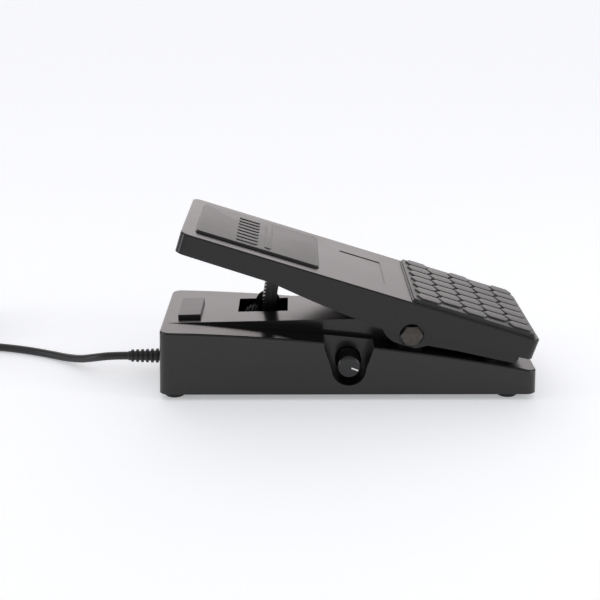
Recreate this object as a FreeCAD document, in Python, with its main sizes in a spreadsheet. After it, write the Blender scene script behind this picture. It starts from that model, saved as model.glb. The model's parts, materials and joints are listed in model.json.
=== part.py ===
import FreeCAD, Part

import math
import os
import re

import Sketcher
from FreeCAD import Placement, Rotation, Vector

# A volume and expression foot pedal. X runs from the toe end (-) to the heel end (+), Y from the
# knob side (-) to the far side (+), and Z is up from the floor. The origin is on the floor, under the
# middle of the housing. The treadle is drawn at rest, with the heel down.

# Driving sizes in mm and degrees: alias, value, what it is.
SIZES = (
    ("base_length", 253.5, "housing, toe end to heel end"),
    ("base_width", 100.0, "housing, side to side at the bottom"),
    ("base_lift", 4.5, "floor to the bottom of the housing"),
    ("base_corner", 7.0, "corner radius of the housing seen from above"),
    ("draft_ends", 1.6, "how far each end leans in over the draft height"),
    ("draft_sides", 3.0, "how far each side leans in over the draft height"),
    ("draft_height", 57.0, "height over which the draft is measured"),
    ("wall", 2.6, "housing wall"),
    ("toe_height", 47.5, "top of the housing's shoulder at the toe"),
    ("mid_height", 39.3, "top of the shoulder at mid length"),
    ("heel_height", 20.0, "top of the shoulder at the heel"),
    ("shoulder_round", 1.2, "round on the shoulder's outer edge"),
    ("hump_width", 54.0, "raised middle of the housing"),
    ("hump_height", 50.0, "top of the raised middle at its flat part"),
    ("hump_inset", 3.0, "toe end of the housing to the start of the raised middle"),
    ("hump_step", 0.15, "raised middle below the shoulder at the toe"),
    ("hump_flat_from", 0.0, "x where the raised middle becomes flat"),
    ("hump_flat_to", 35.0, "x where it starts to fall to the heel"),
    ("hump_end", 118.0, "x where it ends"),
    ("slot_from", -75.0, "x of the slot's toe end"),
    ("slot_length", 34.5, "slot for the drive arm, along x"),
    ("slot_width", 29.5, "slot, along y"),
    ("slot_centre", 8.25, "y of the slot's centre line"),
    ("plate_thick", 1.5, "steel bottom plate"),
    ("plate_gap", 0.2, "play around the bottom plate"),
    ("post_diameter", 8.0, "posts that take the bottom screws"),
    ("post_x", 98.0, "screw posts at each end, from the middle"),
    ("post_y", 38.0, "screw posts, from the centre line"),
    ("post_mid_x", 41.4, "middle pair of screw posts"),
    ("screw_diameter", 3.0, "M3 screws"),
    ("screw_head", 5.6, "head of the M3 screws"),
    ("screw_head_height", 1.7, "height of that head"),
    ("screw_length", 8.0, "length under the head"),
    ("foot_diameter", 14.5, "rubber feet"),
    ("foot_toe_x", 117.0, "toe feet, from the middle"),
    ("foot_heel_x", 108.5, "heel feet, from the middle"),
    ("foot_y", 38.0, "feet, from the centre line"),
    ("stem_diameter", 5.0, "stem of a foot through the bottom plate"),
    ("stop_length", 15.5, "rubber toe stop, along x"),
    ("stop_width", 38.0, "toe stop, along y"),
    ("stop_height", 2.8, "toe stop"),
    ("stop_x", -107.7, "x of the toe stop's middle"),
    ("stop_corner", 1.2, "corner radius of the toe stop"),
    ("stop_round", 0.6, "round on the toe stop's top edge"),
    ("bumper_diameter", 12.0, "rubber heel bumpers"),
    ("bumper_reach", 56.0, "pivot to the bumpers, along the treadle"),
    ("bumper_y", 15.0, "bumpers, from the centre line"),
    ("pivot_x", 41.4, "treadle pivot"),
    ("pivot_z", 46.3, "treadle pivot above the floor"),
    ("tilt", 17.5, "slope of the treadle at rest"),
    ("travel", 19.1, "treadle travel from heel down to toe down"),
    ("tower_width", 16.0, "pivot tower, along x"),
    ("tower_face", 40.0, "outer face of a tower, from the centre line"),
    ("tower_thick", 8.0, "tower, along y"),
    ("tower_root", 7.0, "tower below the shoulder's middle height"),
    ("bolt_diameter", 8.0, "pivot bolt"),
    ("bolt_across", 13.0, "hexagon of the bolt's head, across flats"),
    ("bolt_head_height", 4.6, "head of the bolt"),
    ("bolt_chamfer", 0.3, "how far the head's round face is inside its flats"),
    ("bolt_length", 14.5, "bolt under its head"),
    ("head_play", 0.15, "bolt head to the treadle"),
    ("insert_diameter", 11.0, "threaded insert in a tower"),
    ("bush_wall", 1.0, "pivot bush wall"),
    ("running_gap", 0.03, "radial play of a running fit"),
    ("washer_thick", 1.4, "nylon washer between tower and treadle"),
    ("washer_diameter", 15.0, "nylon washer"),
    ("treadle_width", 101.0, "treadle, side to side"),
    ("treadle_toe", 164.2, "pivot to the toe end of the treadle"),
    ("treadle_heel", 82.8, "pivot to the heel end of the treadle"),
    ("treadle_rise", 22.0, "pivot to the top of the treadle"),
    ("treadle_top", 3.0, "thickness of the treadle's top"),
    ("treadle_wall", 2.5, "thickness of its skirt"),
    ("treadle_corner", 6.0, "corner radius seen from above"),
    ("treadle_round", 1.0, "round on the top edge"),
    ("skirt_toe", 13.8, "depth of the skirt at the toe"),
    ("skirt_pivot", 23.8, "depth of the skirt at the pivot"),
    ("skirt_heel", 14.2, "depth of the skirt at the heel"),
    ("skirt_bend", 66.0, "toe end to where the skirt starts to deepen"),
    ("skirt_bow", 105.0, "toe end to the middle of that curve"),
    ("skirt_deep_from", 12.0, "pivot to the skirt's deepest part, towards the toe"),
    ("skirt_deep_to", 2.0, "pivot to the end of that part"),
    ("skirt_shallow", 40.0, "pivot to where the skirt is shallow again, towards the heel"),
    ("rail_depth", 30.4, "depth of the pivot rail at the pivot"),
    ("rail_face", 41.5, "inner face of a pivot rail, from the centre line"),
    ("seat_face", 47.0, "face under the bolt head, from the centre line"),
    ("counterbore", 16.4, "round opening for the bolt head"),
    ("panel_from", 109.8, "toe end of the treadle to the sunk panel"),
    ("panel_length", 30.3, "sunk panel in the treadle's top"),
    ("panel_width", 52.0, "sunk panel"),
    ("panel_depth", 0.4, "sunk panel"),
    ("toe_pad_from", 8.9, "toe end of the treadle to the toe pad"),
    ("toe_pad_length", 84.4, "toe pad"),
    ("toe_pad_width", 77.0, "toe pad"),
    ("toe_pad_proud", 1.6, "toe pad above the treadle's top"),
    ("heel_pad_from", 157.3, "toe end of the treadle to the heel pad"),
    ("heel_pad_length", 86.6, "heel pad"),
    ("heel_pad_width", 97.0, "heel pad"),
    ("heel_pad_proud", 3.4, "heel pad with its blocks above the treadle's top"),
    ("pad_sink", 0.6, "recess that a pad is glued in"),
    ("pad_corner", 3.0, "corner radius of the pads"),
    ("pad_round", 0.7, "round on a pad's top edge"),
    ("gear_module", 0.8, "tooth size of the rack and the pinion"),
    ("rack_teeth", 248.0, "teeth that the rack would have as a full circle"),
    ("pinion_teeth", 16.0, "teeth of the pinion"),
    ("backlash", 0.16, "play between the teeth"),
    ("arm_inner", 90.0, "inner radius of the curved rack arm"),
    ("arm_thick", 6.0, "rack arm, along y"),
    ("arm_below", 4.2, "angle from level to the lower end of the rack at rest"),
    ("arm_block", 4.0, "block under the treadle's top that the arm is screwed to"),
    ("arm_block_width", 24.0, "that block, along y"),
    ("bumper_rib", 17.4, "treadle's top to the bottom of the rib over the bumpers"),
    ("bumper_gap", 0.2, "bumpers to that rib at rest"),
    ("arm_flange", 3.0, "flange of the rack arm"),
    ("arm_flange_width", 10.0, "flange, along y"),
    ("arm_flange_length", 30.0, "flange, along the treadle"),
    ("arm_screw_reach", 11.0, "screws of the flange, from its middle"),
    ("pinion_drop", 5.0, "pivot height to pinion axis"),
    ("pinion_width", 8.0, "pinion, along y"),
    ("shaft_diameter", 6.0, "potentiometer shafts"),
    ("bracket_sheet", 1.5, "sheet of the gear bracket"),
    ("bracket_near", -5.5, "y of the near cheek's inner face"),
    ("bracket_far", 14.0, "y of the far cheek's inner face"),
    ("guide_radius", 8.9, "round top of the far cheek"),
    ("guide_x", -54.6, "x of that round top's centre"),
    ("guide_z", 48.7, "z of that round top's centre"),
    ("sweep_can", 9.0, "can of the sweep potentiometer"),
    ("sweep_can_depth", 8.0, "its depth"),
    ("pot_neck", 3.2, "threaded neck of a potentiometer beyond the sheet it is fixed to"),
    ("nut_thick", 2.0, "nut of a potentiometer"),
    ("flat_washer", 0.5, "washer under the knob's nut"),
    ("lug_length", 5.5, "solder lug beyond the can"),
    ("lug_pitch", 3.5, "spacing of the solder lugs"),
    ("neck_wall", 0.5, "wall of a potentiometer's threaded neck"),
    ("neck_gap", 0.1, "radial play of that neck in the housing"),
    ("lug_width", 1.8, "solder lug"),
    ("lug_thick", 0.8, "solder lug"),
    ("lug_depth", 3.0, "lugs behind the face that the can is fixed by"),
    ("lug_eye", 1.0, "hole in a solder lug"),
    ("roof_gap", 2.1, "gear bracket's near cheek to the roof over the flat part"),
    ("can_gap", 0.15, "room over the sweep potentiometer's can"),
    ("range_can", 16.5, "can of the range potentiometer"),
    ("range_can_depth", 8.5, "its depth"),
    ("knob_x", 0.5, "range knob"),
    ("knob_z", 23.5, "range knob above the floor"),
    ("knob_base", 17.6, "knob at its root"),
    ("knob_face", 14.8, "knob at its face"),
    ("knob_front", 48.6, "knob's face, from the centre line"),
    ("knob_root", 33.8, "knob's root, from the centre line"),
    ("pointer_turn", 111.0, "pointer from twelve o'clock, clockwise"),
    ("recess_floor", 32.5, "back of the knob recess, from the centre line"),
    ("recess_top", 16.6, "half width of the recess at the shoulder"),
    ("recess_round", 11.6, "radius of the recess's round bottom"),
    ("recess_centre", 22.4, "height of that round's centre"),
    ("recess_flare", 2.5, "shoulder's middle height to the end of the recess's slanted sides"),
    ("recess_wall_toe", 1.0, "top of the recess's wall above that height, towards the toe"),
    ("recess_wall_heel", 2.4, "top of the recess's wall below that height, towards the heel"),
    ("bracket_screw_x", -78.0, "screws of the gear bracket"),
    ("bracket_screw_near", -1.0, "y of its near screw"),
    ("bracket_screw_far", 9.5, "y of its far screw"),
    ("clamp_x", -108.0, "cable clamp and its screws"),
    ("clamp_screw_y", 7.0, "screws of the clamp, from the centre line"),
    ("clamp_width", 22.0, "cable clamp, along y"),
    ("clamp_length", 8.0, "cable clamp, along x"),
    ("clamp_over", 2.0, "clamp above the cable"),
    ("cord_z", 13.5, "height of the cable's exit"),
    ("cord_diameter", 5.8, "cable"),
    ("relief_length", 27.0, "strain relief outside the housing"),
    ("relief_flange", 10.8, "flange of the strain relief"),
    ("relief_neck", 8.2, "neck of the strain relief, through the housing"),
    ("relief_gap", 0.1, "radial play of that neck"),
    ("rib_pitch", 3.6, "spacing of the strain relief's ribs"),
    ("rib_width", 1.8, "one rib, along x"),
    ("rib_from", 7.6, "flange's face to the first rib"),
    ("cable_end", -100.0, "x where the cable's jacket ends inside"),
    ("coil_x", -321.0, "coil of the put-away cable"),
    ("coil_y", 84.2, "coil, centre"),
    ("coil_outer", 73.0, "coil, outside"),
    ("coil_inner", 49.6, "coil, inside"),
    ("coil_height", 23.6, "coil, height"),
    ("coil_round", 4.0, "how far the coil's edges round off"),
    ("plug_x", -291.2, "plug beside the coil"),
    ("plug_y", 25.0, "back end of the plug's boot"),
    ("plug_z", 7.0, "plug's axis above the floor"),
    ("boot_diameter", 14.0, "moulded boot of the plug"),
    ("boot_length", 36.0, "boot"),
    ("plug_diameter", 6.35, "plug"),
    ("sleeve_length", 20.0, "sleeve contact of the plug"),
    ("band_length", 1.2, "insulating bands between the contacts"),
    ("ring_length", 2.6, "ring contact"),
    ("tip_length", 5.6, "tip contact"),
    ("wire_diameter", 1.2, "inner wires"),
)
size = {alias: value for alias, value, note in SIZES}

doc = FreeCAD.newDocument("foot_pedal")
sheet = doc.addObject("Spreadsheet::Sheet", "Sizes")
for row, (alias, value, note) in enumerate(SIZES, start=1):
    sheet.set("A%d" % row, note)
    sheet.set("B%d" % row, str(value))
    sheet.setAlias("B%d" % row, alias)
doc.recompute()

nodes = []  # every sub-part that is written to parts/


# ---------------------------------------------------------------------------------------------
# Helpers: each takes its sizes as expressions on the sheet
# ---------------------------------------------------------------------------------------------
def linked(text):
    """An expression whose sheet aliases are written as Sizes.alias."""
    return re.sub(r"[a-z_]+", lambda m: "Sizes." + m.group() if m.group() in size else m.group(), str(text))


def number(text):
    """The value of such an expression."""
    return float(sheet.evalExpression(linked(text)))


def bind(thing, **properties):
    for name, text in properties.items():
        thing.setExpression(name, linked(text))
    return thing


def place(thing, x=0, y=0, z=0, axis=None, angle=0.0):
    """Put a sub-part in the shared frame, turned about an axis through its own origin."""
    turn = Rotation(axis, angle) if axis else Rotation()
    thing.Placement = Placement(Vector(number(x), number(y), number(z)), turn)
    for letter, text in zip("xyz", (x, y, z)):
        thing.setExpression("Placement.Base." + letter, linked(text))
    return thing


def node(thing, label):
    thing.Label = label
    nodes.append(thing)
    return thing


def new_body(name):
    return doc.addObject("PartDesign::Body", name)


def new_sketch(body, plane, offset="0"):
    """A sketch on one of the body's own planes, moved along that plane's normal."""
    sketch = body.newObject("Sketcher::SketchObject", body.Name + "_sketch")
    origin = [o for o in body.Origin.OriginFeatures if o.Role == plane + "_Plane"][0]
    sketch.AttachmentSupport = [(origin, "")]
    sketch.MapMode = "FlatFace"
    sketch.setExpression("AttachmentOffset.Base.z", linked(offset))
    return sketch


def fix_point(sketch, geometry, position, x, y):
    for kind, text in (("DistanceX", x), ("DistanceY", y)):
        index = sketch.addConstraint(
            Sketcher.Constraint(kind, -1, 1, geometry, position, number(text))
        )
        sketch.setExpression("Constraints[%d]" % index, linked(text))


def arc_through(a, b, c):
    """Arc a-b-c as a counter-clockwise ArcOfCircle, and whether a is its end rather than its start."""
    full = Part.Arc(a, b, c).toShape().Curve
    centre = full.Center
    angles = [math.atan2(p.y - centre.y, p.x - centre.x) for p in (a, b, c)]
    forward = ((angles[1] - angles[0]) % math.tau) < ((angles[2] - angles[0]) % math.tau)
    first, last = (angles[0], angles[2]) if forward else (angles[2], angles[0])
    if last < first:
        last += math.tau
    circle = Part.Circle(centre, Vector(0, 0, 1), full.Radius)
    return Part.ArcOfCircle(circle, first, last), not forward


def outline(sketch, points):
    """A closed outline. A point is (x, y), or (x, y, (mx, my)) when an arc through mx, my follows it."""
    spots = [Vector(number(p[0]), number(p[1]), 0) for p in points]
    ends = []
    for index, point in enumerate(points):
        here = spots[index]
        there = spots[(index + 1) % len(points)]
        if len(point) == 2:
            geometry = sketch.addGeometry(Part.LineSegment(here, there))
            ends.append((geometry, 1, 2))
            continue
        middle = Vector(number(point[2][0]), number(point[2][1]), 0)
        arc, backward = arc_through(here, middle, there)
        geometry = sketch.addGeometry(arc)
        ends.append((geometry, 2, 1) if backward else (geometry, 1, 2))
        mark = sketch.addGeometry(Part.Point(middle), True)
        sketch.addConstraint(Sketcher.Constraint("PointOnObject", mark, 1, geometry))
        fix_point(sketch, mark, 1, *point[2])
    for index, point in enumerate(points):
        geometry, start, end = ends[index]
        following, next_start, next_end = ends[(index + 1) % len(points)]
        sketch.addConstraint(
            Sketcher.Constraint("Coincident", geometry, end, following, next_start)
        )
        fix_point(sketch, geometry, start, point[0], point[1])
    return sketch


def rounded_plan(sketch, length, width, radius, x="0", y="0"):
    """A rectangle with round corners, centred on x, y."""
    bow = 1 - math.sqrt(0.5)
    corners = []
    for sx, sy in ((1, -1), (1, 1), (-1, 1), (-1, -1)):
        edge_x = "(%s) + %d * (%s) / 2" % (x, sx, length)
        edge_y = "(%s) + %d * (%s) / 2" % (y, sy, width)
        in_x = "%s - %d * (%s)" % (edge_x, sx, radius)
        in_y = "%s - %d * (%s)" % (edge_y, sy, radius)
        middle = ("%s - %d * %.6f * (%s)" % (edge_x, sx, bow, radius),
                  "%s - %d * %.6f * (%s)" % (edge_y, sy, bow, radius))
        first, last = ((in_x, edge_y), (edge_x, in_y)) if sx * sy < 0 else ((edge_x, in_y), (in_x, edge_y))
        corners += [(first[0], first[1], middle), last]
    return outline(sketch, corners)


def ring(sketch, diameter, x="0", y="0"):
    circle = Part.Circle(Vector(number(x), number(y), 0), Vector(0, 0, 1), number(diameter) / 2)
    geometry = sketch.addGeometry(circle)
    fix_point(sketch, geometry, 3, x, y)
    index = sketch.addConstraint(Sketcher.Constraint("Diameter", geometry, number(diameter)))
    sketch.setExpression("Constraints[%d]" % index, linked(diameter))
    return sketch


def pad(body, sketch, length, midplane=False):
    feature = body.newObject("PartDesign::Pad", body.Name + "_pad")
    feature.Profile = sketch
    feature.Midplane = midplane
    return bind(feature, Length=length)


def pocket(body, sketch, length, midplane=False):
    """A cut against the sketch's normal, or both ways from it."""
    feature = body.newObject("PartDesign::Pocket", body.Name + "_pocket")
    feature.Profile = sketch
    feature.Midplane = midplane
    return bind(feature, Length=length)


def loft(body, lower, upper):
    feature = body.newObject("PartDesign::AdditiveLoft", body.Name + "_loft")
    feature.Profile = lower
    feature.Sections = [upper]
    feature.Ruled = True
    return feature


def round_edges(body, radius, chosen):
    """Fillet the edges of the body's tip that chosen(edge) picks."""
    doc.recompute()
    tip = body.Tip
    names = ["Edge%d" % i for i, edge in enumerate(tip.Shape.Edges, start=1) if chosen(edge)]
    feature = body.newObject("PartDesign::Fillet", body.Name + "_round")
    feature.Base = (tip, names)
    return bind(feature, Radius=radius)


def revolve(body, profile, kind="PartDesign::Revolution"):
    """Turn an outline of (radius, height) about the body's own Z, to add it or to cut a groove."""
    sketch = outline(new_sketch(body, "XZ"), profile)
    feature = body.newObject(kind, body.Name + "_turn")
    feature.Profile = sketch
    feature.ReferenceAxis = (sketch, ["V_Axis"])
    feature.Angle = 360
    return body


def turned(name, profile):
    """A turned piece from its outline."""
    return revolve(new_body(name), profile)


def tube_profile(outer, inner, length, start="0"):
    """Outline of a plain ring for turned()."""
    top = "(%s) + (%s)" % (start, length)
    return [("(%s) / 2" % inner, start), ("(%s) / 2" % outer, start),
            ("(%s) / 2" % outer, top), ("(%s) / 2" % inner, top)]


def cylinder(name, diameter, length, x=0, y=0, z=0, axis=None, angle=0.0):
    rod = bind(doc.addObject("Part::Cylinder", name), Radius="(%s) / 2" % diameter, Height=length)
    return place(rod, x, y, z, axis, angle)


def block(name, length, width, height, x=0, y=0, z=0):
    """A box centred on x and y that stands on z."""
    brick = bind(doc.addObject("Part::Box", name), Length=length, Width=width, Height=height)
    return place(brick, "(%s) - (%s) / 2" % (x, length), "(%s) - (%s) / 2" % (y, width), z)


def cut(name, base, tool):
    result = doc.addObject("Part::Cut", name)
    result.Base = base
    result.Tool = tool
    return result


def common(name, base, tool):
    result = doc.addObject("Part::Common", name)
    result.Base = base
    result.Tool = tool
    return result


def fuse(name, pieces):
    result = doc.addObject("Part::MultiFuse", name)
    result.Shapes = pieces
    return result


def group(label, source, spots):
    """Identical pieces in one node: copies of the source at each placement."""
    doc.recompute()
    result = doc.addObject("Part::Feature", label)
    base = source.Placement.inverse()
    copies = []
    for spot in spots:
        copy = source.Shape.copy()
        copy.Placement = spot.multiply(base).multiply(copy.Placement)
        copies.append(copy)
    result.Shape = Part.makeCompound(copies)
    result.Placement = Placement()
    return node(result, label)


def solid_node(label, shape, placement=None):
    """A sub-part whose shape comes from a formula."""
    result = doc.addObject("Part::Feature", label)
    result.Shape = shape
    result.Placement = placement or Placement()
    return node(result, label)


X_AXIS = Vector(1, 0, 0)
Y_AXIS = Vector(0, 1, 0)
TO_NEAR = Rotation(X_AXIS, 90)    # a turned piece's Z points to -Y
TO_FAR = Rotation(X_AXIS, -90)    # a turned piece's Z points to +Y
TO_TOE = Rotation(Y_AXIS, -90)    # a turned piece's Z points to -X
SIDES = (("near", -1), ("far", 1))

# The treadle's own frame: the origin is on the pivot axis and X runs along its top.
PIVOT = Vector(size["pivot_x"], 0, size["pivot_z"])
TREADLE_FRAME = Placement(PIVOT, Rotation(Y_AXIS, size["tilt"]))


def on_treadle(body):
    """Put a body that is drawn in the treadle's frame in the shared frame."""
    body.Placement = TREADLE_FRAME
    return bind(body, **{"Placement.Base.x": "pivot_x", "Placement.Base.z": "pivot_z",
                         "Placement.Rotation.Angle": "tilt * 1 deg"})


# ---------------------------------------------------------------------------------------------
# Housing
# ---------------------------------------------------------------------------------------------
def tapered_block(name, inset, floor):
    """The housing's outer form, or its hollow when inset by the wall."""
    body = new_body(name)
    lower = new_sketch(body, "XY", floor)
    upper = new_sketch(body, "XY", "base_lift + draft_height")
    shrink = "(%s) * 2" % inset
    radius = "base_corner - (%s)" % inset
    rounded_plan(lower, "base_length - " + shrink, "base_width - " + shrink, radius)
    rounded_plan(upper, "base_length - 2 * draft_ends - " + shrink,
                 "base_width - 2 * draft_sides - " + shrink, radius)
    loft(body, lower, upper)
    over = "base_length / 2 + 1"
    above = new_sketch(body, "XZ")
    outline(above, [
        ("-(%s)" % over, "toe_height - (%s)" % inset, ("0", "mid_height - (%s)" % inset)),
        (over, "heel_height - (%s)" % inset),
        (over, "draft_height * 2"),
        ("-(%s)" % over, "draft_height * 2"),
    ])
    pocket(body, above, "base_width * 2", midplane=True)
    return body


def add_hump(body, inset):
    """The raised middle, which carries the slot and falls away to the heel."""
    fall = "(hump_end - hump_flat_to) * tan(tilt * 1 deg)"
    slope = "(%s) * 1.05" % inset
    profile = new_sketch(body, "XZ")
    outline(profile, [
        ("-base_length / 2 + hump_inset + (%s)" % inset, "heel_height / 2"),
        ("-base_length / 2 + hump_inset + (%s)" % inset, "toe_height - hump_step - (%s)" % inset),
        ("hump_flat_from", "hump_height - (%s)" % inset),
        ("hump_flat_to", "hump_height - (%s)" % inset),
        ("hump_end", "hump_height - %s - %s" % (fall, slope)),
        ("hump_end", "heel_height / 2"),
    ])
    pad(body, profile, "hump_width - 2 * (%s)" % inset, midplane=True)
    return body


def is_shoulder_edge(edge):
    """The long edges and end edges where the shoulder meets the outer sides."""
    box = edge.BoundBox
    high = box.ZMin > size["heel_height"] - 1.5
    outside = max(abs(box.YMin), abs(box.YMax)) > size["base_width"] / 2 - size["draft_sides"] - 8
    upright = box.ZLength > 30 and box.XLength < 8
    return high and outside and not upright


outer = tapered_block("base_block", "0", "base_lift")
round_edges(outer, "shoulder_round", is_shoulder_edge)
add_hump(outer, "0")
hollow = tapered_block("base_hollow", "wall", "base_lift - 1")
add_hump(hollow, "wall")
shell = cut("base_shell", outer, hollow)

POSTS = [(sx * size["post_x"], sy * size["post_y"]) for sx in (-1, 1) for sy in (-1, 1)]
POSTS += [(size["post_mid_x"], sy * size["post_y"]) for sy in (-1, 1)]
PLATE_TOP = "base_lift + plate_thick"
THREAD = "(shaft_diameter + 2 * neck_wall)"

inside = []
for index, (x, y) in enumerate(POSTS):
    inside.append(cylinder("post_%d" % index, "post_diameter", "hump_height", x, y, PLATE_TOP))


def recess_form(name, grow, top, back, front):
    """The U-shaped knob recess, grown by a wall, between two distances from the centre line."""
    body = new_body(name)
    sketch = new_sketch(body, "XZ", back)
    side = "recess_round + (%s)" % grow
    wide = "recess_top + (%s)" % grow
    left, right = "knob_x - ", "knob_x + "
    outline(sketch, [
        (left + "(%s)" % side, "recess_centre", ("knob_x", "recess_centre - (%s)" % side)),
        (right + "(%s)" % side, "recess_centre"),
        (right + "(%s)" % wide, "mid_height - recess_flare"),
        (right + "(%s)" % wide, top[1]),
        (left + "(%s)" % wide, top[0]),
        (left + "(%s)" % wide, "mid_height - recess_flare"),
    ])
    pad(body, sketch, "(%s) - (%s)" % (front, back))
    return body


inside.append(recess_form("recess_wall", "wall",
                          ("mid_height + recess_wall_toe", "mid_height - recess_wall_heel"),
                          "recess_floor - wall", "base_width / 2"))
inner = common("base_inside", fuse("base_inside_all", inside), outer)

towers = []
for side, sign in SIDES:
    middle = "%d * (tower_face - tower_thick / 2)" % sign
    towers.append(block("tower_" + side, "tower_width", "tower_thick", "pivot_z - mid_height + tower_root",
                        "pivot_x", middle, "mid_height - tower_root"))
    towers.append(cylinder("tower_top_" + side, "tower_width", "tower_thick", "pivot_x",
                           "%d * tower_face + %d * tower_thick" % (sign, 0 if sign < 0 else -1),
                           "pivot_z", X_AXIS, -90))

solid = fuse("base_solid", [shell, inner] + towers)

insert_bar = cylinder("insert_bar", "insert_diameter", "tower_face * 3", "pivot_x", "-tower_face * 1.5",
                      "pivot_z", X_AXIS, -90)
between = block("between_towers", "tower_width * 2", "2 * (tower_face - tower_thick)", "hump_height",
                "pivot_x", 0, "pivot_z - hump_height / 2")
openings = [
    cut("insert_holes", insert_bar, between),
    block("slot_tool", "slot_length", "slot_width", "hump_height", "slot_from + slot_length / 2",
          "slot_centre", "toe_height - 12"),
    recess_form("recess_tool", "0", ("draft_height * 2", "draft_height * 2"), "recess_floor",
                "base_width"),
    cylinder("neck_hole", THREAD + " + 2 * neck_gap", "wall * 3", "knob_x", "-recess_floor - wall",
             "knob_z", X_AXIS, -90),
    cylinder("relief_hole", "relief_neck + 2 * relief_gap", "wall * 4", "-base_length / 2 - wall", 0,
             "cord_z", Y_AXIS, 90),
]
for index, (x, y) in enumerate(POSTS):
    openings.append(cylinder("screw_hole_%d" % index, "screw_diameter", "screw_length", x, y,
                             "base_lift + plate_thick - 1"))
open_housing = cut("open_housing", solid, fuse("base_openings", openings))

# The pinion meshes with the rack at an angle below level, as seen from the pivot.
MODULE = size["gear_module"]
rack_pitch = size["rack_teeth"] * MODULE / 2
pinion_pitch = size["pinion_teeth"] * MODULE / 2
centres = rack_pitch + pinion_pitch
mesh_angle = -math.asin(size["pinion_drop"] / centres)
PIN_X = "%.5f" % (size["pivot_x"] - centres * math.cos(mesh_angle))
PIN_Z = "%.5f" % (size["pivot_z"] + centres * math.sin(mesh_angle))
can_room = cylinder("can_room", "sweep_can + 2 * can_gap", "sweep_can_depth + 2 * can_gap", PIN_X,
                    "bracket_near - bracket_sheet - sweep_can_depth - can_gap", PIN_Z, X_AXIS, -90)
base_housing = node(cut("base_housing", open_housing, can_room), "base_housing")

# Bottom plate with holes for its screws and for the stems of the feet
FEET = [("toe_near", "-foot_toe_x", "-foot_y"), ("toe_far", "-foot_toe_x", "foot_y"),
        ("heel_near", "foot_heel_x", "-foot_y"), ("heel_far", "foot_heel_x", "foot_y")]
BRACKET_SCREWS = [(size["bracket_screw_x"], size["bracket_screw_" + side]) for side in ("near", "far")]
CLAMP_SCREWS = [(size["clamp_x"], sign * size["clamp_screw_y"]) for side, sign in SIDES]
plate = new_body("bottom_plate")
plan = new_sketch(plate, "XY")
shrink = "2 * (wall + plate_gap)"
rounded_plan(plan, "base_length - " + shrink, "base_width - " + shrink, "base_corner - wall")
for x, y in POSTS + BRACKET_SCREWS + CLAMP_SCREWS:
    ring(plan, "screw_diameter", x, y)
for name, x, y in FEET:
    ring(plan, "stem_diameter", x, y)
pad(plate, plan, "plate_thick")
node(place(plate, 0, 0, "base_lift"), "bottom_plate")

# Feet: a rubber button whose stem snaps through the plate
for name, x, y in FEET:
    foot = turned("foot_" + name, [
        ("0", "0"), ("foot_diameter / 2 - 1", "0"), ("foot_diameter / 2", "1"),
        ("foot_diameter / 2", "base_lift"), ("stem_diameter / 2", "base_lift"),
        ("stem_diameter / 2", PLATE_TOP), ("stem_diameter / 2 + 0.8", PLATE_TOP),
        ("stem_diameter / 2 - 0.7", PLATE_TOP + " + 2"), ("0", PLATE_TOP + " + 2"),
    ])
    node(place(foot, x, y, 0), "foot_" + name)


def screw(name, length):
    """A pan-head screw: the head hangs below the origin and the shank stands on it."""
    return turned(name, [
        ("0", "-screw_head_height"), ("screw_head / 2 - 0.6", "-screw_head_height"),
        ("screw_head / 2", "-screw_head_height / 2"), ("screw_head / 2", "0"),
        ("screw_diameter / 2", "0"), ("screw_diameter / 2", length), ("0", length),
    ])


plate_screw = screw("plate_screw", "screw_length")
group("bottom_screws", plate_screw,
      [Placement(Vector(x, y, size["base_lift"]), Rotation()) for x, y in POSTS])

# Rubber toe stop, glued on the raised middle, which rises a little towards the slot
hump_slope = math.atan2(size["hump_height"] - size["toe_height"] + size["hump_step"],
                        size["base_length"] / 2 - size["hump_inset"] + size["hump_flat_from"])
stop_seat = size["hump_height"] - (size["hump_flat_from"] - size["stop_x"]) * math.tan(hump_slope)
stop = new_body("toe_stop")
stop_plan = rounded_plan(new_sketch(stop, "XY"), "stop_length", "stop_width", "stop_corner")
pad(stop, stop_plan, "stop_height")
round_edges(stop, "stop_round", lambda edge: edge.BoundBox.ZMin > size["stop_height"] - 0.01)
stop.Placement = Placement(Vector(size["stop_x"], 0, stop_seat),
                           Rotation(Y_AXIS, -math.degrees(hump_slope)))
node(stop, "toe_stop")

# ---------------------------------------------------------------------------------------------
# Treadle, drawn in its own frame
# ---------------------------------------------------------------------------------------------
RISE = "treadle_rise"
UNDER = "treadle_rise - treadle_top"
treadle = new_body("treadle_shell")
side_view = new_sketch(treadle, "XZ")
outline(side_view, [
    ("-treadle_toe", RISE + " - skirt_toe"),
    ("-treadle_toe + skirt_bend", RISE + " - skirt_toe * 1.075",
     ("-treadle_toe + skirt_bow", RISE + " - skirt_toe * 0.54 - skirt_pivot * 0.52")),
    ("-skirt_deep_from", RISE + " - skirt_pivot"),
    ("-skirt_deep_to", RISE + " - skirt_pivot", ("skirt_shallow / 3", RISE + " - skirt_pivot * 0.83")),
    ("skirt_shallow", RISE + " - skirt_heel * 1.2"),
    ("treadle_heel", RISE + " - skirt_heel"),
    ("treadle_heel", RISE),
    ("-treadle_toe", RISE),
])
pad(treadle, side_view, "treadle_width", midplane=True)
round_edges(treadle, "treadle_corner",
            lambda edge: edge.BoundBox.XLength < 0.01 and edge.BoundBox.YLength < 0.01)
round_edges(treadle, "treadle_round", lambda edge: edge.BoundBox.ZMin > size["treadle_rise"] - 0.01)
room = new_sketch(treadle, "XY", UNDER)
rounded_plan(room, "treadle_toe + treadle_heel - 2 * treadle_wall", "treadle_width - 2 * treadle_wall",
             "treadle_corner - treadle_wall", x="(treadle_heel - treadle_toe) / 2")
pocket(treadle, room, "treadle_rise * 3")

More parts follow.
